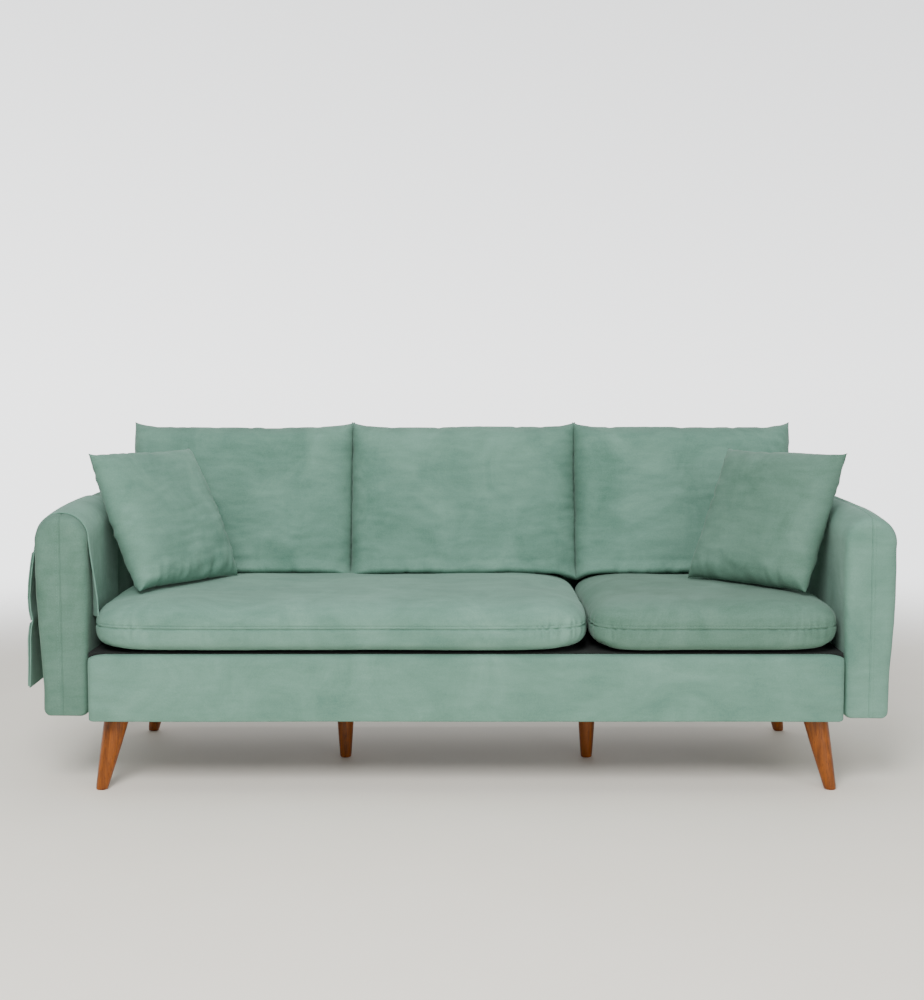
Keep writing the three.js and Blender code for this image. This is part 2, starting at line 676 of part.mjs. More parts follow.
// Stand the sofa on Z = 0 with the origin under the middle of its box.
const box = new THREE.Box3().setFromObject(sofa, true);
const centre = box.getCenter(new THREE.Vector3());
sofa.position.set(-centre.x, -centre.y, -box.min.z);

const group = new THREE.Group();
group.add(sofa);

export default group;
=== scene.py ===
"""A three-seat sofa in sage microfibre velvet on tapered beech legs.

The upholstery, cushions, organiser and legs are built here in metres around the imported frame,
and each one rides on the body of the piece that it stands for.
"""
import math

import bpy
import numpy as np
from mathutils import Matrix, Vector, noise
from mathutils.bvhtree import BVHTree


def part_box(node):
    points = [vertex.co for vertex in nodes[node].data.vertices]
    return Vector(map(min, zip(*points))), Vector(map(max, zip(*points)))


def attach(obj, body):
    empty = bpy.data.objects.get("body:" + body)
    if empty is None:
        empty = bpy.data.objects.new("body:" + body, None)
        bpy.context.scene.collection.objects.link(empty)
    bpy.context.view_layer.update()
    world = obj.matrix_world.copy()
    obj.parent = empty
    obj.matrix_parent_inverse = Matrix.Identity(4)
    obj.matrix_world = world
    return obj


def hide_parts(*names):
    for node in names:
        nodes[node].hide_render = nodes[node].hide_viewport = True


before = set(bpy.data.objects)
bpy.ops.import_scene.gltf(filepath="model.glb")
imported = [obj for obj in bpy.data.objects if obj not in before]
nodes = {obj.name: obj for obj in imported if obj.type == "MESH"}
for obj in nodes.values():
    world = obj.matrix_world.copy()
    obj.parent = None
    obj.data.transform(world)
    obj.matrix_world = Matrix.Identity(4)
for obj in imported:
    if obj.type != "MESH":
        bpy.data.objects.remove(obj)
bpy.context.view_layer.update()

MM = 0.001
RECLINE = math.radians(13)  # of the back and the cushions that lean on it
STITCH_PITCH = 7 * MM
STITCH_WIDTH = 1.1 * MM  # drawn coarser than real thread, so that it shows


# ---------------------------------------------------------------- mesh helpers
def low(node):
    """The lowest corner of a CAD piece's box."""
    return np.array(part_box(node)[0])


def high(node):
    """The highest corner of a CAD piece's box."""
    return np.array(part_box(node)[1])


def make_piece(name, points, faces, material, body, smooth=True):
    """A mesh piece in the row frame that rides on a body."""
    mesh = bpy.data.meshes.new(name)
    mesh.from_pydata([tuple(map(float, p)) for p in points], [], [tuple(map(int, f)) for f in faces])
    mesh.validate()
    mesh.update()
    piece = bpy.data.objects.new(name, mesh)
    bpy.context.scene.collection.objects.link(piece)
    mesh.materials.append(material)
    for polygon in mesh.polygons:
        polygon.use_smooth = smooth
    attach(piece, body)
    return piece


def vertex_normals(points, faces):
    """Area-weighted normals of a quad mesh."""
    quads = np.array([f if len(f) == 4 else (*f, f[-1]) for f in faces])
    a, b, c, d = (points[quads[:, i]] for i in range(4))
    flat = np.cross(c - a, d - b)
    normals = np.zeros_like(points)
    for i in range(4):
        np.add.at(normals, quads[:, i], flat)
    return normals / np.maximum(np.linalg.norm(normals, axis=1, keepdims=True), 1e-12)


def cloth_noise(points, wavelength, seed):
    """Smooth noise from -1 to 1 at each point, with the given wavelength in metres."""
    offset = Vector((seed * 3.17, seed * 1.91, seed * 2.39))
    return np.array([noise.noise(Vector(p) / wavelength + offset) for p in points]) * 1.6


def bell(distance, width):
    """1 at no distance, falling smoothly to nothing past the width."""
    return np.exp(-((distance / width) ** 2))


def ease(value, start, end):
    """0 before start, 1 after end, smooth between."""
    t = np.clip((value - start) / (end - start), 0, 1)
    return t * t * (3 - 2 * t)


def crowded(count, power):
    """Steps from -1 to 1, crowded towards the middle for a power above 1, and towards the ends below 1."""
    t = np.linspace(-1, 1, count + 1)
    return np.sign(t) * np.abs(t) ** power


def cube_skin(steps_x, steps_y, steps_z):
    """The skin of a cube from -1 to 1 as welded quads, with its grid lines at the given steps."""
    steps = (steps_x, steps_y, steps_z)
    index = {}
    points = []
    faces = []

    def vertex(key):
        if key not in index:
            index[key] = len(points)
            points.append([steps[axis][key[axis]] for axis in range(3)])
        return index[key]

    for axis in range(3):
        u, v = (axis + 1) % 3, (axis + 2) % 3
        for end in (0, len(steps[axis]) - 1):
            for i in range(len(steps[u]) - 1):
                for j in range(len(steps[v]) - 1):
                    corners = []
                    for di, dj in ((0, 0), (1, 0), (1, 1), (0, 1)):
                        key = [0, 0, 0]
                        key[axis], key[u], key[v] = end, i + di, j + dj
                        corners.append(vertex(tuple(key)))
                    faces.append(corners if end else corners[::-1])
    return np.array(points, float), faces


def puff(points, half, power):
    """Pushes a cube's skin out to |x/a|^px + |y/b|^py + |z/c|^pz = 1."""
    near = np.zeros(len(points))
    far = np.full(len(points), 1.01)
    for _ in range(40):
        reach = (near + far) / 2
        level = (np.abs(points * reach[:, None]) ** power).sum(1)
        near = np.where(level < 1, reach, near)
        far = np.where(level < 1, far, reach)
    return points * near[:, None] * half


def tube_rows(rows):
    """Quads between neighbouring closed rows of equal length, given as lists of vertex numbers."""
    faces = []
    for first, second in zip(rows, rows[1:]):
        count = len(first)
        for i in range(count):
            j = (i + 1) % count
            faces.append((first[i], first[j], second[j], second[i]))
    return faces


def stitch_row(name, piece_points, piece_faces, starts, directions, material, body):
    """A row of short thread stitches where rays from the starts meet the cloth, half sunk into it."""
    cloth = BVHTree.FromPolygons([tuple(p) for p in piece_points], [tuple(f) for f in piece_faces])
    hits = [cloth.ray_cast(Vector(start), Vector(way)) for start, way in zip(starts, directions)]
    line = np.array([hit[0] for hit in hits if hit[0]])
    outward = np.array([hit[1] * (-1 if hit[1].dot(Vector(way)) > 0 else 1)
                        for hit, way in zip(hits, directions) if hit[0]])
    along = np.concatenate([[0], np.cumsum(np.linalg.norm(np.diff(line, axis=0), axis=1))])
    points = []
    faces = []
    for i in range(int(along[-1] / STITCH_PITCH)):
        ends = (np.array([0.12, 0.32, 0.68, 0.88]) + i) * STITCH_PITCH
        centre = np.array([[np.interp(e, along, line[:, k]) for k in range(3)] for e in ends])
        normal = np.array([[np.interp(e, along, outward[:, k]) for k in range(3)] for e in ends])
        forward = centre[-1] - centre[0]
        forward = forward / np.linalg.norm(forward)
        rows = []
        for k, thickness in enumerate((0.35, 1.0, 1.0, 0.35)):
            side = np.cross(forward, normal[k])
            reach = STITCH_WIDTH / 2 * thickness
            sunk = 0.6 * STITCH_WIDTH * (thickness < 1)
            ring = []
            for angle in np.linspace(0, 2 * math.pi, 6, endpoint=False):
                ring.append(len(points))
                offset = side * reach * math.cos(angle) + normal[k] * (reach * math.sin(angle) - sunk)
                points.append(centre[k] + offset)
            rows.append(ring)
        faces += tube_rows(rows)
        faces += [tuple(rows[0][::-1]), tuple(rows[-1])]
    return make_piece(name, points, faces, material, body)


# ---------------------------------------------------------------- materials
def to_linear(hex_colour):
    """sRGB hex to linear RGBA."""
    parts = [int(hex_colour[i:i + 2], 16) / 255 for i in (0, 2, 4)]
    return tuple(c / 12.92 if c <= 0.04045 else ((c + 0.055) / 1.055) ** 2.4 for c in parts) + (1.0,)


def add_node(tree, kind, inputs=None, **settings):
    """Adds a node with its settings, and sets or links its inputs."""
    node = tree.nodes.new(kind)
    for key, value in settings.items():
        setattr(node, key, value)
    for key, value in (inputs or {}).items():
        if isinstance(value, bpy.types.NodeSocket):
            tree.links.new(value, node.inputs[key])
        else:
            node.inputs[key].default_value = value
    return node


def new_material(name):
    """A material with an empty node tree, its tree and the object's own coordinates in metres."""
    material = bpy.data.materials.new(name)
    material.use_nodes = True
    tree = material.node_tree
    tree.nodes.clear()
    place = add_node(tree, "ShaderNodeTexCoord").outputs["Object"]
    return material, tree, place


def finish_material(tree, shader_inputs):
    """Ends a material's tree with its shader."""
    shader = add_node(tree, "ShaderNodeBsdfPrincipled", shader_inputs)
    add_node(tree, "ShaderNodeOutputMaterial", {"Surface": shader.outputs["BSDF"]})


def velvet(name, light, dark, along=(1, 0, 0), depth=1.0):
    """Microfibre velvet, brushed: a matt short nap that lies in soft patches and streaks, lighter at
    grazing angles. The nap's fibres are under 0.1 mm, so they are drawn as 3 mm tufts to show."""
    material, tree, place = new_material(name)
    patches = add_node(tree, "ShaderNodeTexNoise", {
        "Vector": place, "Scale": 1 / 0.16, "Detail": 4.0, "Roughness": 0.62, "Distortion": 0.8})
    stretch = tuple(1 / 0.075 if a else 1 / 0.016 for a in along)
    brushed = add_node(tree, "ShaderNodeMapping", {"Vector": place, "Scale": stretch})
    streaks = add_node(tree, "ShaderNodeTexNoise", {
        "Vector": brushed.outputs["Vector"], "Scale": 1.0, "Detail": 3.0, "Roughness": 0.6})
    tufts = add_node(tree, "ShaderNodeTexNoise", {
        "Vector": place, "Scale": 1 / 0.003, "Detail": 2.0, "Roughness": 0.7})
    patch_shade = add_node(tree, "ShaderNodeMapRange", {
        "Value": patches.outputs["Fac"], "From Min": 0.3, "From Max": 0.7, "To Min": 0.0, "To Max": 1.0})
    streak_shade = add_node(tree, "ShaderNodeMapRange", {
        "Value": streaks.outputs["Fac"], "From Min": 0.3, "From Max": 0.7, "To Min": 0.0, "To Max": 0.35})
    tuft_shade = add_node(tree, "ShaderNodeMapRange", {
        "Value": tufts.outputs["Fac"], "From Min": 0.3, "From Max": 0.7, "To Min": 0.0, "To Max": 0.45})
    nap = add_node(tree, "ShaderNodeMath", {
        0: patch_shade.outputs["Result"], 1: streak_shade.outputs["Result"]}, operation="ADD")
    nap = add_node(tree, "ShaderNodeMath", {
        0: nap.outputs["Value"], 1: tuft_shade.outputs["Result"]}, operation="ADD")
    lie = add_node(tree, "ShaderNodeMath", {0: nap.outputs["Value"], 1: 0.5}, operation="MULTIPLY")
    colour = add_node(tree, "ShaderNodeMix", {
        "Factor": lie.outputs["Value"], "A": to_linear(dark), "B": to_linear(light)}, data_type="RGBA")
    rough = add_node(tree, "ShaderNodeMapRange", {
        "Value": nap.outputs["Value"], "From Min": 0.0, "From Max": 2.0, "To Min": 0.95, "To Max": 0.82})
    relief = add_node(tree, "ShaderNodeMath", {
        0: streak_shade.outputs["Result"], 1: tuft_shade.outputs["Result"]}, operation="ADD")
    bump = add_node(tree, "ShaderNodeBump", {
        "Height": relief.outputs["Value"], "Strength": 0.35 * depth, "Distance": 0.0008})
    finish_material(tree, {
        "Base Color": colour.outputs["Result"], "Roughness": rough.outputs["Result"],
        "Specular IOR Level": 0.25, "Sheen Weight": 0.16, "Sheen Roughness": 0.45,
        "Sheen Tint": to_linear("d3e6dd"), "Normal": bump.outputs["Normal"]})
    return material


def stained_beech(name, light, dark):
    """Turned beech, stained honey brown under satin lacquer: fine straight grain along the leg, short
    darker flecks 3 to 8 mm long, and a soft even gloss."""
    material, tree, place = new_material(name)
    along_leg = add_node(tree, "ShaderNodeMapping", {
        "Vector": place, "Scale": (1 / 0.010, 1 / 0.010, 1 / 0.16)})
    grain = add_node(tree, "ShaderNodeTexNoise", {
        "Vector": along_leg.outputs["Vector"], "Scale": 1.0, "Detail": 5.0, "Roughness": 0.62,
        "Distortion": 0.6})
    fleck_place = add_node(tree, "ShaderNodeMapping", {
        "Vector": place, "Scale": (1 / 0.0022, 1 / 0.0022, 1 / 0.012)})
    flecks = add_node(tree, "ShaderNodeTexNoise", {
        "Vector": fleck_place.outputs["Vector"], "Scale": 1.0, "Detail": 2.0, "Roughness": 0.5})
    fleck_shade = add_node(tree, "ShaderNodeMapRange", {
        "Value": flecks.outputs["Fac"], "From Min": 0.58, "From Max": 0.72, "To Min": 0.0, "To Max": 0.45})
    grain_shade = add_node(tree, "ShaderNodeMapRange", {
        "Value": grain.outputs["Fac"], "From Min": 0.32, "From Max": 0.68, "To Min": 0.0, "To Max": 1.0})
    darker = add_node(tree, "ShaderNodeMath", {
        0: grain_shade.outputs["Result"], 1: fleck_shade.outputs["Result"]}, operation="SUBTRACT")
    colour = add_node(tree, "ShaderNodeMix", {
        "Factor": darker.outputs["Value"], "A": to_linear(dark), "B": to_linear(light)}, data_type="RGBA")
    bump = add_node(tree, "ShaderNodeBump", {
        "Height": darker.outputs["Value"], "Strength": 0.12, "Distance": 0.0004})
    rough = add_node(tree, "ShaderNodeMapRange", {
        "Value": grain.outputs["Fac"], "From Min": 0.3, "From Max": 0.7, "To Min": 0.42, "To Max": 0.34})
    finish_material(tree, {
        "Base Color": colour.outputs["Result"], "Roughness": rough.outputs["Result"],
        "Specular IOR Level": 0.35, "Coat Weight": 0.1, "Coat Roughness": 0.35,
        "Normal": bump.outputs["Normal"]})
    return material


def sawn_pine(name):
    """Bare sawn pine: pale, matt, with broad growth bands and saw marks every 4 mm."""
    material, tree, place = new_material(name)
    bands_place = add_node(tree, "ShaderNodeMapping", {"Vector": place, "Scale": (3.0, 22.0, 22.0)})
    bands = add_node(tree, "ShaderNodeTexNoise", {
        "Vector": bands_place.outputs["Vector"], "Scale": 1.6, "Detail": 3.0, "Distortion": 1.4})
    marks = add_node(tree, "ShaderNodeTexWave", {
        "Vector": place, "Scale": 1 / 0.025, "Distortion": 2.0, "Detail": 2.0})
    colour = add_node(tree, "ShaderNodeMix", {
        "Factor": bands.outputs["Fac"], "A": to_linear("b98a55"), "B": to_linear("ecd2a4")}, data_type="RGBA")
    bump = add_node(tree, "ShaderNodeBump", {
        "Height": marks.outputs["Fac"], "Strength": 0.3, "Distance": 0.0006})
    finish_material(tree, {
        "Base Color": colour.outputs["Result"], "Roughness": 0.78, "Normal": bump.outputs["Normal"]})
    return material


def steel(name, colour_hex, rough_low, rough_high):
    """Steel with a thin finish, zinc plated or oiled: cloudy patches of gloss a few centimetres wide."""
    material, tree, place = new_material(name)
    clouds = add_node(tree, "ShaderNodeTexNoise", {
        "Vector": place, "Scale": 1 / 0.02, "Detail": 4.0, "Roughness": 0.6})
    rough = add_node(tree, "ShaderNodeMapRange", {
        "Value": clouds.outputs["Fac"], "To Min": rough_low, "To Max": rough_high})
    bump = add_node(tree, "ShaderNodeBump", {
        "Height": clouds.outputs["Fac"], "Strength": 0.1, "Distance": 0.0003})
    finish_material(tree, {
        "Base Color": to_linear(colour_hex), "Metallic": 1.0, "Roughness": rough.outputs["Result"],
        "Normal": bump.outputs["Normal"]})
    return material


def matted_fibre(name, light, dark, spacing):
    """Pressed or bonded fibre: a matt sheet with a fine random web, drawn at the given spacing."""
    material, tree, place = new_material(name)
    web = add_node(tree, "ShaderNodeTexNoise", {
        "Vector": place, "Scale": 1 / spacing, "Detail": 5.0, "Roughness": 0.75})
    colour = add_node(tree, "ShaderNodeMix", {
        "Factor": web.outputs["Fac"], "A": to_linear(dark), "B": to_linear(light)}, data_type="RGBA")
    bump = add_node(tree, "ShaderNodeBump", {
        "Height": web.outputs["Fac"], "Strength": 0.5, "Distance": 0.001})
    finish_material(tree, {
        "Base Color": colour.outputs["Result"], "Roughness": 0.95, "Normal": bump.outputs["Normal"]})
    return material


# one cloth in four shades: the plain copy first, then three copies with painted shade in their colour, darker
# for the pieces that lie in more shade and whose nap lies away from the light
sage_velvet = velvet("sage_velvet", "779c8c", "527768")
# painted shade: these three copies are darker in steps, slight, middle and deep
sage_velvet_painted_shade_slight = velvet("sage_velvet_painted_shade_slight", "749989", "507566", along=(1, 1, 0))
sage_velvet_painted_shade_mid = velvet("sage_velvet_painted_shade_mid", "719686", "476b5c", along=(1, 1, 0))
sage_velvet_painted_shade_deep = velvet("sage_velvet_painted_shade_deep", "68897a", "426252", along=(1, 1, 0))
sage_thread = velvet("sage_thread", "6c9080", "4c6f60", depth=0.3)
honey_beech = stained_beech("honey_stained_beech", "985000", "5c2c00")
pine = sawn_pine("sawn_pine")
zinc_plate = steel("zinc_plated_steel", "c4c7ca", 0.28, 0.5)
oiled_wire = steel("oiled_spring_wire", "5a5d61", 0.35, 0.55)
# near black: a dark lining, darkened further with painted shade for the shadowed deck between the arms and
# the band
deck_felt_and_painted_shade = matted_fibre("pressed_deck_felt_and_painted_shade", "161d1a", "0c100e", 0.004)
dust_web = matted_fibre("spunbond_dust_sheet", "2a2a2c", "151516", 0.003)


# ---------------------------------------------------------------- legs
def build_leg(name):
    """A turned taper, splayed by shear so that its ends stay level, with a softened foot edge."""
    node = f"leg_{name}"
    box_low, box_high = low(node), high(node)
    cad = np.array([v.co for v in nodes[node].data.vertices])
    top = cad[cad[:, 2] > box_high[2] - 1 * MM]
    foot = cad[cad[:, 2] < box_low[2] + 1 * MM]
    top_centre = (top.min(0) + top.max(0)) / 2
    foot_centre = (foot.min(0) + foot.max(0)) / 2
    top_radius = (top[:, 0].max() - top[:, 0].min()) / 2
    foot_radius = 14.5 * MM
    height = box_high[2] - box_low[2]
    profile = [(0.0, 0.0), (foot_radius - 4.5 * MM, 0.0)]
    for angle in np.linspace(0, math.pi / 2, 6)[1:]:
        reach = foot_radius - 4 * MM * (1 - math.sin(angle))
        profile.append((reach, 4 * MM * (1 - math.cos(angle))))
    for share in np.linspace(0.06, 0.985, 14):
        swell = 0.6 * MM * math.sin(math.pi * share)
        profile.append((foot_radius + (top_radius - foot_radius) * share + swell, height * share))
    profile += [(top_radius - 0.2 * MM, height - 1 * MM), (top_radius - 1.4 * MM, height), (0.0, height)]
    sides = 56
    points = []
    rows = []
    for radius, z in profile:
        share = z / height
        centre = foot_centre * (1 - share) + top_centre * share
        if radius == 0:
            rows.append([len(points)] * sides)
            points.append((centre[0], centre[1], box_low[2] + z))
            continue
        rows.append(list(range(len(points), len(points) + sides)))
        for angle in np.linspace(0, 2 * math.pi, sides, endpoint=False):
            points.append((
                centre[0] + radius * math.cos(angle), centre[1] + radius * math.sin(angle), box_low[2] + z))
    faces = [tuple(dict.fromkeys(face)) for face in tube_rows(rows)]
    leg = make_piece(f"turned_leg_{name}", points, faces, honey_beech, "sofa_frame")
    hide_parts(node)


# ---------------------------------------------------------------- seat cushions
def seat_cushion(name, seed):
    """A loose foam seat cushion in two panels: a soft crown, a round nose, a topstitched seam at mid
    height all round, and gathers across the seam where the panels turn the front corners."""
    node = f"seat_cover_{name}"
    box_low, box_high = low(node), high(node)
    half = (box_high - box_low) / 2
    centre = (box_high + box_low) / 2
    cells = np.round(half[:2] * 2 / (np.array([4.5, 8]) * MM)).astype(int)
    # finer near the seam, in mm above or below mid height
    levels = np.array([0, 1, 2, 3.2, 4.8, 6, 7, 8, 9.2, 11, 14, 18, 23, 29, 36, 43, 50, 57, 63.5]) / 63.5
    levels = np.concatenate([-levels[:0:-1], levels])
    points, faces = cube_skin(crowded(cells[0], 0.62), crowded(cells[1], 0.62), levels)
    reach = np.abs(points) / np.abs(points).max(1, keepdims=True)
    power = np.empty_like(points)
    power[:, 0] = half[0] / (46 * MM)
    power[:, 1] = half[1] / (36 * MM)
    under = ease(-points[:, 2], -0.1, 0.1)
    power[:, 2] = 2.5 + (3.6 - 2.2 * reach[:, 0] ** 10) * under
    unit = puff(points, 1.0, power)
    co = unit * half
    edge = np.maximum(np.abs(unit[:, 0]) ** 10, np.abs(unit[:, 1]) ** 8)
    crown = (1 - unit[:, 0] ** 4) * (1 - unit[:, 1] ** 2)
    co[:, 2] += np.clip(unit[:, 2], 0, 1) * ((crown - 0.6) * 7 - 6 * ease(unit[:, 1], 0.1, 0.75)) * MM
    around = np.arctan2(unit[:, 1], unit[:, 0])
    run = np.where(reach[:, 1] > reach[:, 0], co[:, 0], co[:, 1]) + around * 0.02
    normals = vertex_normals(co, faces)
    seam = -6 * MM + 4 * MM * np.abs(unit[:, 0]) ** 8
    to_seam = co[:, 2] - seam
    on_side = ease(edge, 0.25, 0.8)
    groove = (bell(to_seam, 2.2 * MM) + 0.35 * bell(to_seam - 8 * MM, 1.6 * MM)) * on_side
    corner = ease(np.abs(unit[:, 0]) ** 2 * np.abs(unit[:, 1]) ** 3, 0.25, 0.85)
    wander = cloth_noise(co * [1, 1, 0.15], 60 * MM, seed)
    gathers = np.sin(run / (24 * MM) * 2 * math.pi + 3.2 * wander)
    tight = 1.3 if name == "wide" else 2.6
    uneven = 0.6 + 0.6 * cloth_noise(co * [1, 1, 0.1], 45 * MM, seed + 2)
    gather_reach = bell(to_seam, 24 * MM) * (1 - bell(to_seam, 2.4 * MM)) * on_side * uneven
    soft = cloth_noise(co * [1, 1, 2], 210 * MM, seed + 5) * 3.2 * MM
    soft += cloth_noise(co * [1, 1.6, 2], 85 * MM, seed + 9) * 1.2 * MM
    push = -4.0 * MM * groove + gathers * gather_reach * (tight + 2.4 * corner) * MM + soft
    push = np.where(unit[:, 2] < -0.55, push * 0.3, push)
    co = co + normals * push[:, None] + centre
    co[:, 2] = np.maximum(co[:, 2], box_low[2] + 0.2 * MM)
    # the narrow cushion takes the darkest copy of the cloth: painted shade
    nap = sage_velvet if name == "wide" else sage_velvet_painted_shade_deep
    cushion = make_piece(f"seat_cushion_{name}", co, faces, nap, f"seat_{name}")
    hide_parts(node, f"seat_foam_{name}")
    starts = []
    ways = []
    for angle in np.linspace(-math.pi, math.pi, 900):
        around = np.array([math.cos(angle), math.sin(angle), 0])
        around /= np.abs(around).max()
        out = around * half
        way = np.sign(around) * -np.abs(around) ** 12
        way /= np.linalg.norm(way)
        beside = 2 * MM + 4 * MM * abs(around[0]) ** 8
        starts.append(centre + out - way * 0.05 + np.array([0, 0, beside]))
        ways.append(way)
    row = stitch_row(f"seat_topstitch_{name}", co, faces, starts, ways, sage_thread, f"seat_{name}")


# ---------------------------------------------------------------- sewn bags
def bag_layout(nx, nz):
    """Numbering and faces of two panels of nx by nz cells that share their rims."""
    front = np.arange((nx + 1) * (nz + 1)).reshape(nx + 1, nz + 1)
    rear = front.copy()
    rear[1:-1, 1:-1] = front.size + np.arange((nx - 1) * (nz - 1)).reshape(nx - 1, nz - 1)
    faces = []
    for panel, order in ((front, 1), (rear, -1)):
        for i in range(nx):
            for j in range(nz):
                ring = (panel[i, j], panel[i + 1, j], panel[i + 1, j + 1], panel[i, j + 1])
                faces.append(ring[::order])
    return front, rear, faces


def cut_bag(bag, cell):
    """Two flat panels sewn together round their rims, cut a little fuller in the middle of each side."""
    width, height = bag["width"] * 1.03, bag["height"] * 1.04
    nx, nz = round(width / cell), round(height / cell)
    front, rear, faces = bag_layout(nx, nz)
    u, v = np.meshgrid(np.linspace(-1, 1, nx + 1), np.linspace(-1, 1, nz + 1), indexing="ij")
    x = u * (width / 2 + bag["bow"] * (1 - v * v))
    z = v * (height / 2 + bag["bow"] * (1 - u * u))
    rise = 20 * MM * (1 - u * u) * (1 - v * v)
    points = np.zeros((front.size + (nx - 1) * (nz - 1), 3))
    points[rear] = np.stack([x, rise, z], -1)
    points[front] = np.stack([x, -rise, z], -1)
    bag.update(points=points, faces=faces, front=front, rear=rear)


def halved(grid):
    """Puts a smooth new row between each two rows of a grid, and a new column between each two columns."""
    for _ in range(2):
        outer = np.concatenate([2 * grid[:1] - grid[1:2], grid, 2 * grid[-1:] - grid[-2:-1]])
        finer = np.zeros((2 * len(grid) - 1, *grid.shape[1:]))
        finer[::2] = grid
        finer[1::2] = (9 * (grid[:-1] + grid[1:]) - outer[:-3] - outer[3:]) / 16
        grid = finer.transpose(1, 0, 2)
    return grid


def refine_bag(bag, co):
    """Halves the cells of a filled bag, and notes each point's panel and its place when cut."""
    front_grid, rear_grid = halved(co[bag["front"]]), halved(co[bag["rear"]])
    nx, nz = front_grid.shape[0] - 1, front_grid.shape[1] - 1
    front, rear, faces = bag_layout(nx, nz)
    finer = np.zeros((front.size + (nx - 1) * (nz - 1), 3))
    finer[rear] = rear_grid
    finer[front] = front_grid
    cut = np.zeros((len(finer), 2))
    u, v = np.meshgrid(np.linspace(-1, 1, nx + 1), np.linspace(-1, 1, nz + 1), indexing="ij")
    cut[rear] = cut[front] = np.stack([u, v], -1)
    panel = np.ones(len(finer))
    panel[front] = -1
    bag.update(faces=faces, front=front, rear=rear, cut=cut, panel=panel)
    return finer


def blow_up(bags, frames=26):
    """Cloth simulation: fills all the bags with air together and returns their points."""
    scene = bpy.context.scene
    scene.frame_start, scene.frame_end = 1, frames
    pieces = []
    for bag in bags:
        mesh = bpy.data.meshes.new("bag")
        mesh.from_pydata([tuple(p) for p in bag["points"]], [], bag["faces"])
        piece = bpy.data.objects.new("bag", mesh)
        scene.collection.objects.link(piece)
        cloth = piece.modifiers.new("Cloth", "CLOTH")
        settings = cloth.settings
        settings.quality = 5
        settings.mass = 0.25
        settings.tension_stiffness = 22
        settings.compression_stiffness = 18
        settings.shear_stiffness = 7
        settings.bending_stiffness = bag["stiff"]
        settings.tension_damping = settings.compression_damping = 12
        settings.shear_damping = 8
        settings.air_damping = 3
        settings.use_pressure = True
        settings.uniform_pressure_force = bag["pressure"]
        settings.effector_weights.gravity = 0
        cloth.collision_settings.use_collision = False
        cloth.point_cache.frame_start, cloth.point_cache.frame_end = 1, frames
        pieces.append(piece)
    for step in range(1, frames + 1):
        scene.frame_set(step)
    graph = bpy.context.evaluated_depsgraph_get()
    filled = []
    for piece in pieces:
        done = piece.evaluated_get(graph)
        filled.append(np.array([v.co for v in done.data.vertices]))
    for piece in pieces:
        mesh = piece.data
        bpy.data.objects.remove(piece)
        bpy.data.meshes.remove(mesh)
    scene.frame_set(1)
    return filled


def square_up(bag, co, seed):
    """Brings a filled bag to size: its seams run straight between small ears and waver a little, its
    edges are plump, and the folds of the filled cloth stay at reduced depth."""
    co = co - (co.max(0) + co.min(0)) / 2
    by_seam = ease(np.abs(bag["cut"]).max(1), 0.8, 0.97)[:, None]
    spread = bag["cut"] * np.abs(co[:, [0, 2]]).max(0)
    co[:, [0, 2]] += (spread - co[:, [0, 2]]) * by_seam
    rim = bag["front"]
    left, right, bottom, top = rim[0], rim[-1], rim[:, 0], rim[:, -1]
    sides = ((0, 2, bag["width"], (left, right), bag["side_dip"]),
             (2, 0, bag["height"], (bottom, top), bag["ear"]))
    for axis, other, size, ends, dip in sides:
        span = np.abs(co[:, other]).max()
        share = np.clip(co[:, other] / span, -1, 1)
        side = np.sign(co[:, axis])
        lane = np.where(side > 0, bag["lanes"][1], bag["lanes"][0]) if axis == 0 else side * 0.3 + seed
        along = np.stack([co[:, other], lane, np.zeros(len(co))], 1)
        waver = side * cloth_noise(along, 150 * MM, 4) * (1.6 if axis == 0 else 2.4) * MM
        nicks = np.clip(cloth_noise(along + [0, side[0], 0], 24 * MM, seed), 0, 1) * 2.2 * MM
        target = size / 2 + (waver - nicks - dip) * (1 - np.abs(share) ** 9)
        edge_low = np.interp(co[:, other], co[ends[0], other], co[ends[0], axis])
        edge_high = np.interp(co[:, other], co[ends[1], other], co[ends[1], axis])
        place = (co[:, axis] - edge_low) / (edge_high - edge_low) * 2 - 1
        co[:, axis] = place * target
        if axis == 0:
            u = np.clip(place, -1, 1)
        else:
            v = np.clip(place, -1, 1)
    plump_left, plump_right, plump_top, plump_foot = bag["plump"]
    plump_u = np.where(u > 0, plump_right, plump_left)
    plump_v = np.where(v > 0, plump_top, plump_foot)
    body = (1 - np.abs(u) ** plump_u) ** 0.5 * (1 - np.abs(v) ** plump_v) ** 0.5
    filled = np.maximum(co[:, 1] * bag["panel"], 0)
    folds = (filled / filled.max()) ** 0.6 * (1 - np.abs(bag["cut"]) ** 24).min(1)
    co[:, 1] = bag["panel"] * (0.78 * body + 0.22 * folds) * bag["thick"] / 2
    return co, u, v


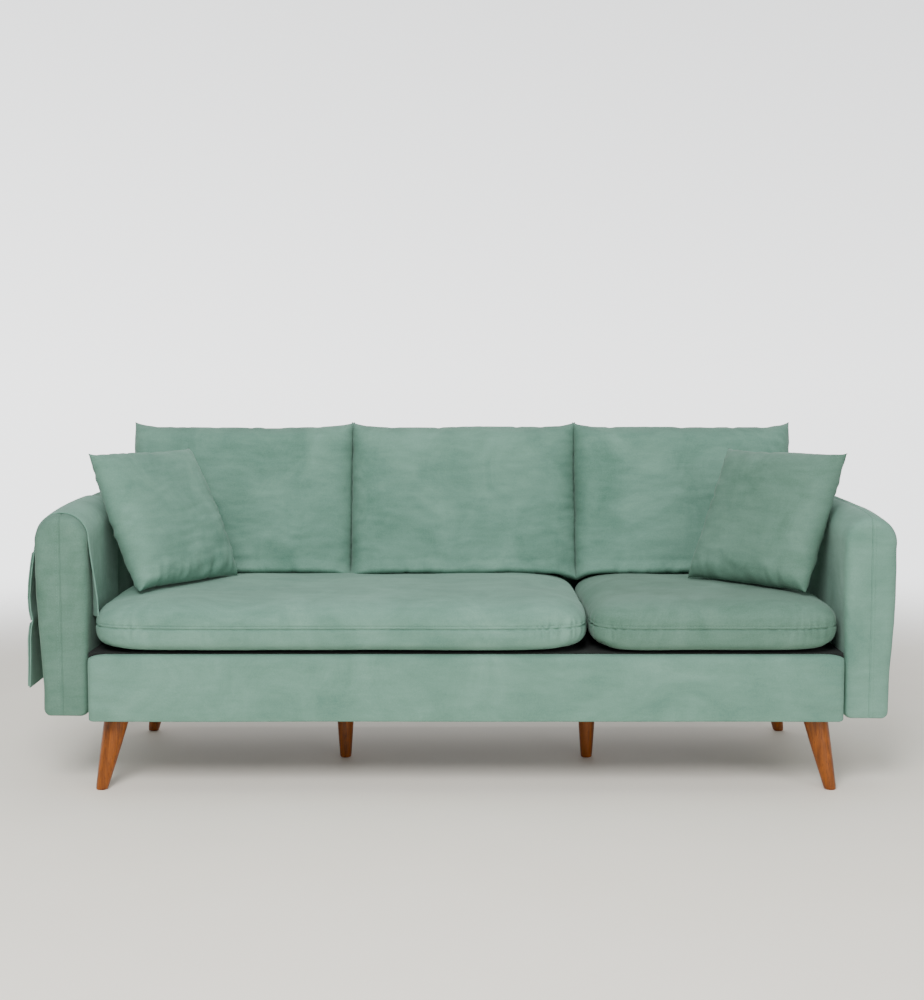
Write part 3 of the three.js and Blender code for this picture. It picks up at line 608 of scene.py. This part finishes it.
def crease(co, u, v, seed):
    """Small tucks that run in from the seams, and fine level creases over the face."""
    face = np.sign(co[:, 1])
    near_foot, near_side = ease(-v, 0.6, 0.98), ease(np.abs(u), 0.84, 0.99)
    near_top = ease(v, 0.85, 0.99)
    fade = (1 - np.abs(u) ** 30) * (1 - np.abs(v) ** 30)
    wander = cloth_noise(co * [1, 0, 1], 70 * MM, seed + 6)[:, None] * [12 * MM, 0, 12 * MM]
    depth = 4.6 * MM * near_foot * cloth_noise((co + wander) * [1, 0, 0.4], 24 * MM, seed)
    depth += 4.2 * MM * near_side * cloth_noise((co + wander) * [0.4, 0, 1], 22 * MM, seed + 1)
    depth += 3.2 * MM * near_top * cloth_noise((co + wander) * [1, 0, 0.4], 26 * MM, seed + 2)
    depth += 1.7 * MM * cloth_noise((co + wander) * [0.35, 0, 1.4], 30 * MM, seed + 3)
    depth += 4.0 * MM * cloth_noise(co * [1, 0, 1.2], 190 * MM, seed + 4)
    return face * depth * fade


def press(co, point, normal, soft):
    """Flattens what lies beyond a plane onto it, easing over the given softness."""
    normal = np.array(normal) / np.linalg.norm(normal)
    beyond = (co - np.array(point)) @ normal
    pushed = np.where(beyond > -soft, (beyond + soft) ** 2 / (4 * soft), 0)
    pushed = np.where(beyond > soft, beyond, pushed)
    return co - normal * pushed[:, None]


def turned(co, lean, turn=0.0):
    """Leans a bag back about X, then turns it about Z."""
    c, s = math.cos(lean), math.sin(lean)
    x, y, z = co.T
    y, z = y * c + z * s, z * c - y * s
    c, s = math.cos(turn), math.sin(turn)
    return np.stack([x * c - y * s, x * s + y * c, z], 1)


def back_bag(side, seed):
    """The sizes of a back cushion, from its CAD solid. Neighbours share the lane of noise that their
    seams waver along, so that no gap opens between them. Plump gives the squareness of its edges:
    left, right, top and foot."""
    node = f"back_cushion_cover_{side}"
    width = high(node)[0] - low(node)[0] + 14 * MM
    height = (high(node)[2] - low(node)[2]) / math.cos(RECLINE) + 49 * MM
    lanes = {"left": (5, 6), "centre": (6, 7), "right": (7, 8)}[side]
    plump_right = 7 if side == "centre" else 18
    return {"side": side, "node": node, "seed": seed, "width": width, "height": height, "thick": 168 * MM,
            "pressure": 1.3, "stiff": 0.4, "bow": 12 * MM, "side_dip": 0.8 * MM, "ear": 15 * MM,
            "plump": (18, plump_right, 7, 13), "lanes": lanes}


def throw_bag(side, seed):
    """The sizes of a throw pillow, measured along its seams."""
    return {"side": side, "node": f"throw_pillow_cover_{side}", "seed": seed, "width": 374 * MM,
            "height": 374 * MM, "thick": 108 * MM, "pressure": 1.7, "stiff": 0.3, "bow": 11 * MM,
            "side_dip": 8 * MM, "ear": 8 * MM, "plump": (6, 6, 6, 6), "lanes": (seed, seed + 1)}


def build_bags():
    """Fills the three back cushions and the two throw pillows in one simulation."""
    bags = [back_bag(side, seed) for side, seed in (("left", 3), ("centre", 8), ("right", 14))]
    bags += [throw_bag(side, seed) for side, seed in (("left", 21), ("right", 27))]
    for bag in bags:
        cut_bag(bag, 10 * MM if bag["width"] > 0.5 else 8 * MM)
    filled = blow_up(bags)
    for bag, co in zip(bags, filled):
        co = refine_bag(bag, co)
        if "back" in bag["node"]:
            place_back(bag, co)
        else:
            place_throw(bag, co)


def place_back(bag, co):
    """Leans a back cushion on the back, flat against it and flat on the seat, with its foot sagging
    into the gap between the seat cushions."""
    side = bag["side"]
    box_low, box_high = low(bag["node"]), high(bag["node"])
    co, u, v = square_up(bag, co, bag["seed"])
    co[:, 1] += crease(co, u, v, bag["seed"]) - 46 * MM * ease(-v, 0.8, 1.0)
    outer = {"left": -1, "centre": 0, "right": 1}[side]
    if outer:
        reach = 36 * MM if outer < 0 else 22 * MM
        co[:, 0] -= outer * ease(u * outer, -0.9, 1.0) * (1 - ease(v, -1.0, 1.0)) * reach
    centre = (box_low + box_high) / 2
    co = turned(co, RECLINE) + centre - [0, 0, 16 * MM]
    seat_top = high("seat_cover_wide")[2]
    lean = np.array([0, math.cos(RECLINE), -math.sin(RECLINE)])
    co = press(co, centre + lean * 84 * MM, lean, 10 * MM)
    split = (high("seat_cover_wide")[0] + low("seat_cover_narrow")[0]) / 2
    sag = np.zeros_like(co)
    sag[:, 2] = 22 * MM * bell(co[:, 0] - split, 34 * MM)
    co = press(co + sag, (0, 0, seat_top - 7 * MM), (0, 0, -1), 3 * MM) - sag
    # the back cushions take the middle copy of the cloth: painted shade
    cushion = make_piece(f"back_cushion_{side}", co, bag["faces"], sage_velvet_painted_shade_mid, f"back_{side}")
    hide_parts(bag["node"], f"back_cushion_fill_{side}")


# lean and turn of each throw pillow
THROW_POSE = {
    "left": (math.radians(25.8), math.radians(58.9)),
    "right": (math.radians(25.8), math.radians(-48.5)),
}


def place_throw(bag, co):
    """Stands a throw pillow on its lower edge, leaning back and turned, pressed flat on the seat."""
    side = bag["side"]
    box_low, box_high = low(bag["node"]), high(bag["node"])
    co, u, v = square_up(bag, co, bag["seed"])
    co[:, 1] += crease(co, u, v, bag["seed"])
    lean, turn = THROW_POSE[side]
    co = turned(co, lean, turn) + (box_low + box_high) / 2
    seat = high("seat_cover_wide" if side == "left" else "seat_cover_narrow")[2]
    co = press(co, (0, 0, seat), (0, 0, -1), 6 * MM)
    # the right pillow takes a darker copy than the left: painted shade, as if the light fell from the left
    nap = sage_velvet_painted_shade_mid if side == "left" else sage_velvet_painted_shade_deep
    pillow = make_piece(f"throw_pillow_{side}", co, bag["faces"], nap, f"throw_{side}")
    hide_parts(bag["node"], f"throw_pillow_fill_{side}")


# ---------------------------------------------------------------- arms
ARM_HALF = 60 * MM
ARM_FOOT_TAPER = 12 * MM
ARM_CORNER = 18 * MM
ARM_EDGE = 17 * MM
ARM_FRONT_HEIGHT = 482 * MM


def arm_rise(y_from_front):
    """How much higher the arm's top is than at its front."""
    return 25 * MM * (1 - np.exp(-np.maximum(0, y_from_front) / (150 * MM)))


def arm_outline(height, inset, side_steps, top_steps):
    """Left and right reach of the arm at each level, from its foot to the crown of its round top."""
    levels = []
    foot = inset * 0.3
    corner = max(ARM_CORNER - inset, 3 * MM)
    for angle in np.linspace(0, math.pi / 2, 6):
        z = foot + corner * (1 - math.cos(angle))
        inwards = corner * (1 - math.sin(angle))
        levels.append((z, inwards))
    shoulder = height - ARM_HALF
    for share in np.linspace(0, 1, side_steps + 1)[1:]:
        levels.append((foot + corner + (shoulder - foot - corner) * share, 0.0))
    rows = []
    for z, inwards in levels:
        taper = ARM_FOOT_TAPER * (1 - ease(z, 0, height * 0.62))
        rows.append((z, -(ARM_HALF - inset) + inwards, ARM_HALF - inset - taper - inwards))
    for angle in top_steps:
        radius = ARM_HALF - inset
        reach = radius * math.cos(angle)
        rows.append((shoulder + radius * math.sin(angle), -reach, reach))
    return rows


def build_arm(hand):
    """Two shaped panels sewn together along a seam down the front, along the top and down the rear,
    with a row of topstitching beside it, softly padded on each side."""
    node = f"arm_cover_{hand}"
    box_low, box_high = low(node), high(node)
    side = -1 if hand == "left" else 1
    middle = (box_low[0] + box_high[0]) / 2
    front, rear = box_low[1], box_high[1]
    height = box_high[2] - box_low[2] - arm_rise(np.array([rear - front]))[0]
    near_crown = np.radians([79, 80.8, 81.6, 82.4, 83.2, 84.5, 86.5, 88, 89.2])
    top_steps = np.concatenate([np.linspace(0, math.radians(76), 11)[1:], near_crown])
    across = np.array([0.02, 0.045, 0.08, 0.105, 0.12, 0.133, 0.146, 0.17, 0.27, 0.42, 0.6, 0.8, 1])
    across = np.concatenate([-across[::-1], [0], across])
    side_steps = 34
    points = []
    tag = []

    def add(x, y, z, on_face, u):
        points.append((x, y, z))
        tag.append((on_face, u))
        return len(points) - 1

    def face_grid(y, inset):
        rows = arm_outline(height, inset, side_steps, top_steps)
        grid = []
        for z, left, right in rows:
            grid.append([add(left + (right - left) * (u + 1) / 2, y, z, 1, u) for u in across])
        crown = add(0, y, height - inset, 1, 0)
        return grid, crown

    def ring_of(grid, crown):
        ring = list(grid[0]) + [row[-1] for row in grid[1:]] + [crown]
        return ring + [row[0] for row in reversed(grid[1:])]

    def side_ring(y, inset):
        rows = arm_outline(height, inset, side_steps, top_steps)
        z, left, right = rows[0]
        ring = [add(left + (right - left) * (u + 1) / 2, y, z, 0, u) for u in across]
        ring += [add(right_, y, z_, 0, 1) for z_, _, right_ in rows[1:]]
        ring.append(add(0, y, height - inset, 0, 0))
        ring += [add(left_, y, z_, 0, -1) for z_, left_, _ in reversed(rows[1:])]
        return ring

    faces = []

    def cap(grid, crown, flip):
        new = []
        for a, b in zip(grid, grid[1:]):
            for i in range(len(a) - 1):
                new.append((a[i], a[i + 1], b[i + 1], b[i]))
        last = grid[-1]
        for i in range(len(last) - 1):
            new.append((last[i], last[i + 1], crown))
        faces.extend([f[::-1] for f in new] if flip else new)

    front_grid, front_crown = face_grid(front, ARM_EDGE)
    rings = [ring_of(front_grid, front_crown)]
    cap(front_grid, front_crown, False)
    for angle in np.linspace(0, math.pi / 2, 7)[1:]:
        rings.append(side_ring(front + ARM_EDGE * (1 - math.cos(angle)), ARM_EDGE * (1 - math.sin(angle))))
    for y in np.linspace(front + ARM_EDGE, rear - ARM_EDGE, 62)[1:]:
        rings.append(side_ring(y, 0))
    for angle in np.linspace(math.pi / 2, 0, 7)[1:-1]:
        rings.append(side_ring(rear - ARM_EDGE * (1 - math.cos(angle)), ARM_EDGE * (1 - math.sin(angle))))
    rear_grid, rear_crown = face_grid(rear, ARM_EDGE)
    rings.append(ring_of(rear_grid, rear_crown))
    cap(rear_grid, rear_crown, True)
    for first, second in zip(rings, rings[1:]):
        for i in range(len(first)):
            j = (i + 1) % len(first)
            faces.append((first[j], first[i], second[i], second[j]))
    co = np.array(points)
    co[:, 2] *= 1 + arm_rise(co[:, 1] - front) / height
    normals = vertex_normals(co, faces)
    on_top = (co[:, 2] > height - ARM_HALF) | (np.array([t[0] for t in tag]) > 0)
    to_seam = np.where(on_top, np.abs(co[:, 0]), 1.0)
    from_topstitch = np.where(on_top, co[:, 0] - 8 * MM, 1.0)
    groove = bell(to_seam, 1.8 * MM) + 0.35 * bell(from_topstitch, 1.3 * MM)
    swell = ease(to_seam, 0.0, 16 * MM) * on_top
    seed = 31 if hand == "left" else 37
    soft = cloth_noise(co * [1.4, 1, 0.7], 170 * MM, seed) * 2.2 * MM
    soft += cloth_noise(co * [1, 0.6, 1.4], 60 * MM, seed + 4) * 0.6 * MM
    away = np.clip(co[:, 2] / (60 * MM), 0.25, 1)
    co += normals * ((-2.4 * MM * groove + 0.8 * MM * swell + soft * away)[:, None])
    co[:, 0] = middle + side * co[:, 0]
    co[:, 2] += box_low[2]
    if side < 0:
        faces = [f[::-1] for f in faces]
    # the left arm takes the darkest copy of the cloth and the right arm the lightest: painted shade
    nap = sage_velvet_painted_shade_deep if hand == "left" else sage_velvet_painted_shade_slight
    arm = make_piece(f"upholstered_arm_{hand}", co, faces, nap, "sofa_frame")
    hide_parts(node)
    beside = middle + side * 8 * MM
    levels = np.linspace(box_low[2] + 4 * MM, box_low[2] + height - 16 * MM, 150)
    up = [(beside, front - 0.05, z) for z in levels]
    back = [(beside, y, box_high[2] + 0.05) for y in np.linspace(front + 8 * MM, rear - 8 * MM, 200)]
    ways = [(0, 1, 0)] * len(up) + [(0, 0, -1)] * len(back)
    row = stitch_row(f"arm_topstitch_{hand}", co, faces, up + back, ways, sage_thread, "sofa_frame")


# ---------------------------------------------------------------- base and back
def rounded_run(corners, steps=7):
    """A closed outline through corners (a, b, radius), each rounded by an arc-like curve."""
    run = []
    count = len(corners)
    for i, (a, b, radius) in enumerate(corners):
        here = np.array([a, b])
        before = np.array(corners[i - 1][:2]) - here
        after = np.array(corners[(i + 1) % count][:2]) - here
        start = here + before / np.linalg.norm(before) * radius
        end = here + after / np.linalg.norm(after) * radius
        if radius == 0:
            run.append(here)
            continue
        for t in np.linspace(0, 1, steps):
            run.append((1 - t) ** 2 * start + 2 * t * (1 - t) * here + t ** 2 * end)
    return np.array(run)


def fill_run(run, spacing):
    """Adds points along the long stretches of a closed outline."""
    filled = []
    for a, b in zip(run, np.roll(run, -1, axis=0)):
        pieces = max(1, int(np.linalg.norm(b - a) / spacing))
        for k in range(pieces):
            filled.append(a + (b - a) * k / pieces)
    return np.array(filled)


def base_front():
    """The padded front of the base: cloth pulled over a board, with a rolled top edge and soft ends."""
    node = "base_front_cover"
    box_low, box_high = low(node), high(node)
    half = (box_high[0] - box_low[0]) / 2
    middle = (box_high[0] + box_low[0]) / 2
    height = box_high[2] - box_low[2]
    depth = box_high[1] - box_low[1]
    section = fill_run(rounded_run([
        (0, 0, 4 * MM), (0, height, 19 * MM), (depth, height, 0), (depth, 0, 0)]), 6 * MM)
    end_round = 16 * MM
    corner_long, corner_tall = 50 * MM, 13 * MM
    stations = [(-half + end_round * (1 - math.cos(a)), end_round * (1 - math.sin(a)))
                for a in np.linspace(0, math.pi / 2, 9)]
    stations += [(x, 0) for x in np.linspace(-half + end_round, -half + 0.12, 14)[1:]]
    stations += [(x, 0) for x in np.linspace(-half + 0.12, half - 0.12, 120)[1:-1]]
    stations += [(-x, inset) for x, inset in reversed(stations[:22])]
    points = []
    rows = []
    for x, inset in stations:
        rows.append(list(range(len(points), len(points) + len(section))))
        from_end = min(1.0, (half - abs(x)) / corner_long)
        droop = corner_tall * (1 - math.sqrt(max(0.0, 1 - (1 - from_end) ** 2)))
        for y, z in section:
            shrink = inset * (1 - y / depth)
            level = z / height
            points.append((x, y + shrink, z - droop * ease(level, 0.3, 1.0) + inset * 0.3 * (1 - level) ** 6))
    faces = [f[::-1] for f in tube_rows(rows)]
    faces += [tuple(rows[0]), tuple(rows[-1][::-1])]
    co = np.array(points)
    end = ease(np.abs(co[:, 0]), half - 0.16, half)
    soft = cloth_noise(co * [0.5, 1, 1.2], 150 * MM, 51) * 1.8 * MM
    folds = np.sin(co[:, 2] / (46 * MM) * 2 * math.pi + co[:, 0] * 24) * end * 1.2 * MM
    front_face = ease(-co[:, 1], -depth * 0.6, 0)
    sag = np.sin(np.clip(co[:, 2] / height, 0, 1) * math.pi) * 2.5 * MM
    co[:, 1] -= (soft + folds + sag - 2 * MM) * front_face
    co += [middle, box_low[1], box_low[2]]
    # the band takes the lightest shaded copy of the cloth: slight painted shade
    band = make_piece("base_front_band", co, faces, sage_velvet_painted_shade_slight, "sofa_frame")
    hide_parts(node)


def base_side_return(hand):
    """The strip of cloth that carries the front's cover round onto the side of the base."""
    band_low, band_high = low("base_front_cover"), high("base_front_cover")
    rail_low, rail_high = low("base_front_rail"), high("base_front_rail")
    side = -1 if hand == "left" else 1
    inner = (rail_low[0] if side < 0 else rail_high[0]) + side * 0.2 * MM
    outer = inner + side * 1.2 * MM
    front, rear = band_high[1] + 0.2 * MM, band_high[1] + 90 * MM
    bottom, top = band_low[2] + 2 * MM, rail_high[2]
    points = [(x, y, z) for z in (bottom, top) for x, y in (
        (inner, front), (outer, front), (outer, rear), (inner, rear))]
    faces = [(3, 2, 1, 0), (4, 5, 6, 7), (0, 1, 5, 4), (1, 2, 6, 5), (2, 3, 7, 6), (3, 0, 4, 7)]
    if side < 0:
        faces = [face[::-1] for face in faces]
    strip = make_piece(f"base_side_return_{hand}", points, faces, sage_velvet, "sofa_frame", smooth=False)


def back_upholstery():
    """The padded back between the arms and its flat rear cloth, which hangs to the foot of the base."""
    node = "back_cover"
    box_low, box_high = low(node), high(node)
    half = (box_high[0] - box_low[0]) / 2
    middle = (box_high[0] + box_low[0]) / 2
    slope = math.tan(RECLINE)
    top = box_high[2]
    deck = high("base_front_rail")[2] + 1 * MM
    rear_top = box_high[1]
    front_top = rear_top - 72 * MM
    cad = np.array([v.co for v in nodes[node].data.vertices])
    foot_y = cad[cad[:, 2] < box_low[2] + 1 * MM][:, 1].max()
    bend_z = top - (rear_top - foot_y) / slope
    section = fill_run(rounded_run([
        (front_top - (top - deck) * slope, deck, 0), (front_top, top, 26 * MM), (rear_top, top, 24 * MM),
        (foot_y, bend_z, 30 * MM), (foot_y, box_low[2], 2 * MM), (foot_y - 8 * MM, box_low[2], 0),
        (foot_y - 8 * MM, deck, 0)]), 9 * MM)
    end_round = 14 * MM
    stations = [(-half + end_round * (1 - math.cos(a)), end_round * (1 - math.sin(a)))
                for a in np.linspace(0, math.pi / 2, 6)]
    stations += [(x, 0) for x in np.linspace(-half + end_round, half - end_round, 110)[1:-1]]
    stations += [(-x, inset) for x, inset in reversed(stations[:6])]
    points = []
    rows = []
    for x, inset in stations:
        rows.append(list(range(len(points), len(points) + len(section))))
        for y, z in section:
            centre_y = front_top + 36 * MM - (top - z) * slope
            towards = np.sign(centre_y - y)
            upper = 1.0 if z > deck + 5 * MM else 0.0
            lift = inset * ease(np.array([z]), top - 30 * MM, top)[0]
            points.append((x, y + towards * inset * upper, z - lift))
    faces = tube_rows(rows)
    faces += [tuple(rows[0][::-1]), tuple(rows[-1])]
    co = np.array(points)
    normals = vertex_normals(co, [f for f in faces if len(f) <= 4])
    soft = cloth_noise(co * [0.6, 1, 1], 190 * MM, 61) * 1.6 * MM
    to_seam = np.abs(co[:, 2] - (top - 9 * MM)) + 10 * (co[:, 1] < rear_top - 30 * MM)
    co += normals * (soft - 1.6 * MM * bell(to_seam, 2 * MM))[:, None] * (co[:, 2:3] > deck)
    co[:, 0] = np.clip(co[:, 0], -half, half)
    co += [middle, 0, 0]
    # the back takes the lightest shaded copy of the cloth: slight painted shade
    back = make_piece("upholstered_back", co, faces, sage_velvet_painted_shade_slight, "sofa_frame")
    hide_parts(node)


# ---------------------------------------------------------------- arm organiser
# the organiser down each side of the arm: its distance from the arm's middle and its height, in mm
ORGANISER_OUTER = [
    (63, 604), (65, 590), (67.5, 576), (73, 540), (78, 500), (80.5, 464), (79, 435), (74.5, 411), (79, 392),
    (82, 365), (83, 320), (85, 280), (86, 250)]
ORGANISER_INNER = [(63, 604), (66, 575), (71, 540), (77, 500), (82, 460), (84, 421)]
ORGANISER_TURN = 0.22  # share of each side's places that lies on the arm's round top


def drape_column(w, y, shoulder, places):
    """A line of the organiser's middle surface over the arm at depth y. Its places run from -1 at the
    inner hem over 0 at the crown to 1 at the outer hem; w is 0 at its front edge and 1 at its rear."""
    reach = ARM_HALF + 3 * MM
    column = []
    for place in places:
        if abs(place) <= ORGANISER_TURN:
            angle = place / ORGANISER_TURN * math.pi / 2
            column.append((reach * math.sin(angle), y, shoulder + reach * math.cos(angle)))
            continue
        down = (abs(place) - ORGANISER_TURN) / (1 - ORGANISER_TURN)
        outline = np.array(ORGANISER_OUTER if place > 0 else ORGANISER_INNER) * MM
        start, bottom = outline[0, 1], outline[-1, 1]
        out = np.interp(-(start + (bottom - start) * down), -outline[:, 1], outline[:, 0])
        z = shoulder + (bottom - shoulder) * down
        if place < 0:
            out = reach + (out - reach) * (1 - ease(w, 0.0, 0.14))
        else:
            out += (0.8 * math.sin(w * 8 + z * 16) + 1.5 * math.sin(w * 3.1)) * MM * ease(down, 0.1, 0.6)
        column.append((math.copysign(out, place), y, z))
    return column


def hanging_cloth(name, grid, thickness, node):
    """Closes a grid of points into cloth of the given thickness, with its edges turned in."""
    rows, columns, _ = grid.shape
    flat = grid.reshape(-1, 3)
    quads = [(i * columns + j, i * columns + j + 1, (i + 1) * columns + j + 1, (i + 1) * columns + j)
             for i in range(rows - 1) for j in range(columns - 1)]
    normals = vertex_normals(flat, quads)
    rim = list(range(columns)) + [i * columns + columns - 1 for i in range(1, rows)]
    rim += [(rows - 1) * columns + j for j in range(columns - 2, -1, -1)]
    rim += [i * columns for i in range(rows - 2, 0, -1)]
    count = len(flat)
    points = np.concatenate([flat + normals * thickness / 2, flat - normals * thickness / 2])
    faces = list(quads) + [tuple(k + count for k in quad[::-1]) for quad in quads]
    for a, b in zip(rim, rim[1:] + rim[:1]):
        faces.append((b, a, a + count, b + count))
    piece = make_piece(name, points, faces, sage_velvet, "organiser")
    bevel = piece.modifiers.new("turned_edge", "BEVEL")
    bevel.width = thickness * 0.35
    bevel.segments = 2
    bevel.limit_method = "ANGLE"
    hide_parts(node)
    return piece


def build_organiser():
    """The organiser's sheet over the left arm, and its two full pockets on the outer side."""
    box_low, box_high = low("arm_organiser"), high("arm_organiser")
    arm_low, arm_high = low("arm_cover_left"), high("arm_cover_left")
    middle = (arm_low[0] + arm_high[0]) / 2
    width = float(box_high[1] - box_low[1])
    turn = ORGANISER_TURN
    places = np.concatenate([
        np.linspace(-1, -turn, 26)[:-1], np.linspace(-turn, turn, 34), np.linspace(turn, 1, 56)[1:]])
    widths = np.linspace(0, 1, 44)
    columns = []
    for w in widths:
        y = box_low[1] + width * w
        shoulder = arm_low[2] + ARM_FRONT_HEIGHT - ARM_HALF + float(arm_rise(np.array([y - arm_low[1]]))[0])
        columns.append(drape_column(w, y, shoulder, places))
    grid = np.array(columns).transpose(1, 0, 2)
    grid[:, :, 0] = middle - grid[:, :, 0]
    sheet = hanging_cloth("organiser_sheet", grid, 3.4 * MM, "arm_organiser")
    outer = grid[places >= turn]
    for tier, z_top, z_bottom in (("upper", 576 * MM, 414 * MM), ("lower", 404 * MM, 254 * MM)):
        pocket = np.zeros((28, len(widths), 3))
        for i, down in enumerate(np.linspace(0, 1, 28)):
            z = z_top + (z_bottom - z_top) * down
            fall = math.sin(math.pi * min(1.0, 0.2 + 0.8 * down)) ** 0.7 * (down < 1)
            for j, w in enumerate(widths):
                column = outer[::-1, j]
                belly = 11 * MM * (1 - abs(2 * w - 1) ** 5) * fall
                mouth = 2.5 * MM * (1 - abs(2 * w - 1) ** 3) * (1 - down)
                x = np.interp(z, column[:, 2], column[:, 0]) - 3.6 * MM - belly - mouth
                pocket[i, j] = (x, column[0, 1], z)
        cloth = hanging_cloth(f"organiser_pocket_{tier}_cloth", pocket, 2.6 * MM, f"organiser_pocket_{tier}")


# ---------------------------------------------------------------- carried-over frame pieces
def finish_frame_pieces():
    """Gives each CAD piece that stays its own finish."""
    finishes = {
        "base_": pine, "corner_": pine, "arm_frame": pine, "back_top": pine, "back_post": pine,
        "seat_spring": oiled_wire, "leg_plate": zinc_plate, "arm_bolt": zinc_plate,
        "deck_pad": deck_felt_and_painted_shade, "dust_cover": dust_web,
    }
    for name, node in nodes.items():
        for start, material in finishes.items():
            if name.startswith(start):
                node.data.materials.clear()
                node.data.materials.append(material)


# ---------------------------------------------------------------- studio
def floor_finish():
    """Matt pale floor that fades out into the background some metres away."""
    material, tree, place = new_material("pale_studio_floor")
    distance = add_node(tree, "ShaderNodeVectorMath", {0: place}, operation="LENGTH")
    fade = add_node(tree, "ShaderNodeMapRange", {
        "Value": distance.outputs["Value"], "From Min": 1.6, "From Max": 4.6, "To Min": 1.0, "To Max": 0.0},
        interpolation_type="SMOOTHERSTEP")
    grain = add_node(tree, "ShaderNodeTexNoise", {"Vector": place, "Scale": 3.0, "Detail": 3.0})
    colour = add_node(tree, "ShaderNodeMix", {
        "Factor": grain.outputs["Fac"], "A": to_linear("f3ede0"), "B": to_linear("f9f3e8")}, data_type="RGBA")
    finish_material(tree, {
        "Base Color": colour.outputs["Result"], "Roughness": 0.7, "Specular IOR Level": 0.2,
        "Alpha": fade.outputs["Result"]})
    return material


def build_studio():
    """A pale floor that fades into a soft grey surround, and three large soft lights."""
    scene = bpy.context.scene
    size = 6.0
    corners = [(-size, -size, 0), (size, -size, 0), (size, size, 0), (-size, size, 0)]
    mesh = bpy.data.meshes.new("studio_floor")
    mesh.from_pydata(corners, [], [(0, 1, 2, 3)])
    mesh.materials.append(floor_finish())
    floor = bpy.data.objects.new("studio_floor", mesh)
    scene.collection.objects.link(floor)

    world = bpy.data.worlds.new("studio_air")
    world.use_nodes = True
    tree = world.node_tree
    tree.nodes.clear()
    direction = add_node(tree, "ShaderNodeTexCoord").outputs["Generated"]
    split = add_node(tree, "ShaderNodeSeparateXYZ", {"Vector": direction})
    height_fade = add_node(tree, "ShaderNodeMapRange", {
        "Value": split.outputs["Z"], "From Min": 0.0, "From Max": 0.4, "To Min": 1.0, "To Max": 0.55})
    behind = add_node(tree, "ShaderNodeMapRange", {
        "Value": split.outputs["Y"], "From Min": 0.35, "From Max": 0.85, "To Min": 0.75, "To Max": 3.05},
        interpolation_type="SMOOTHSTEP")
    glow = add_node(tree, "ShaderNodeMath", {
        0: height_fade.outputs["Result"], 1: behind.outputs["Result"]}, operation="MULTIPLY")
    sideways = add_node(tree, "ShaderNodeMapRange", {
        "Value": split.outputs["X"], "From Min": -0.3, "From Max": 0.3, "To Min": 1.08, "To Max": 0.94})
    strength = add_node(tree, "ShaderNodeMath", {
        0: glow.outputs["Value"], 1: sideways.outputs["Result"]}, operation="MULTIPLY")
    backdrop = add_node(tree, "ShaderNodeBackground", {
        "Color": to_linear("f1f2f3"), "Strength": strength.outputs["Value"]})
    add_node(tree, "ShaderNodeOutputWorld", {"Surface": backdrop.outputs["Background"]})
    scene.world = world

    lamps = [
        ("key_softbox", (-0.7, -3.8, 3.2), (0, 0, 0.4), 1.8, 222),
        ("fill_softbox", (3.0, -4.4, 1.8), (0, 0, 0.4), 2.4, 90),
        ("top_softbox", (0, 0.2, 3.8), (0, 0.1, 0), 3.0, 40),
    ]
    for name, place, target, width, power in lamps:
        light = bpy.data.lights.new(name, "AREA")
        light.shape = "SQUARE"
        light.size = width
        light.energy = power
        lamp = bpy.data.objects.new(name, light)
        lamp.location = place
        lamp.rotation_euler = (Vector(target) - Vector(place)).to_track_quat("-Z", "Y").to_euler()
        scene.collection.objects.link(lamp)


def build_camera():
    """A short telephoto camera a little over sitting eye height, level across the sofa."""
    base_low = low("base_front_cover")
    base_high = high("base_front_cover")
    middle = (base_low[0] + base_high[0]) / 2
    camera_data = bpy.data.cameras.new("front_view")
    camera_data.lens = 55.07
    camera_data.sensor_width = 36
    camera_data.shift_x = -0.004
    camera = bpy.data.objects.new("front_view", camera_data)
    camera.location = (middle, base_low[1] - 3.6, 1.0006)
    camera.rotation_euler = (math.pi / 2 - math.atan(124 / 1529.8), 0, 0)
    bpy.context.scene.collection.objects.link(camera)
    bpy.context.scene.camera = camera


build_camera()
for leg_name in (f"{place}_{hand}" for place in ("front", "middle", "rear") for hand in ("left", "right")):
    build_leg(leg_name)
seat_cushion("wide", 2)
seat_cushion("narrow", 6)
build_bags()
build_arm("left")
build_arm("right")
base_front()
base_side_return("left")
base_side_return("right")
back_upholstery()
build_organiser()
finish_frame_pieces()
build_studio()
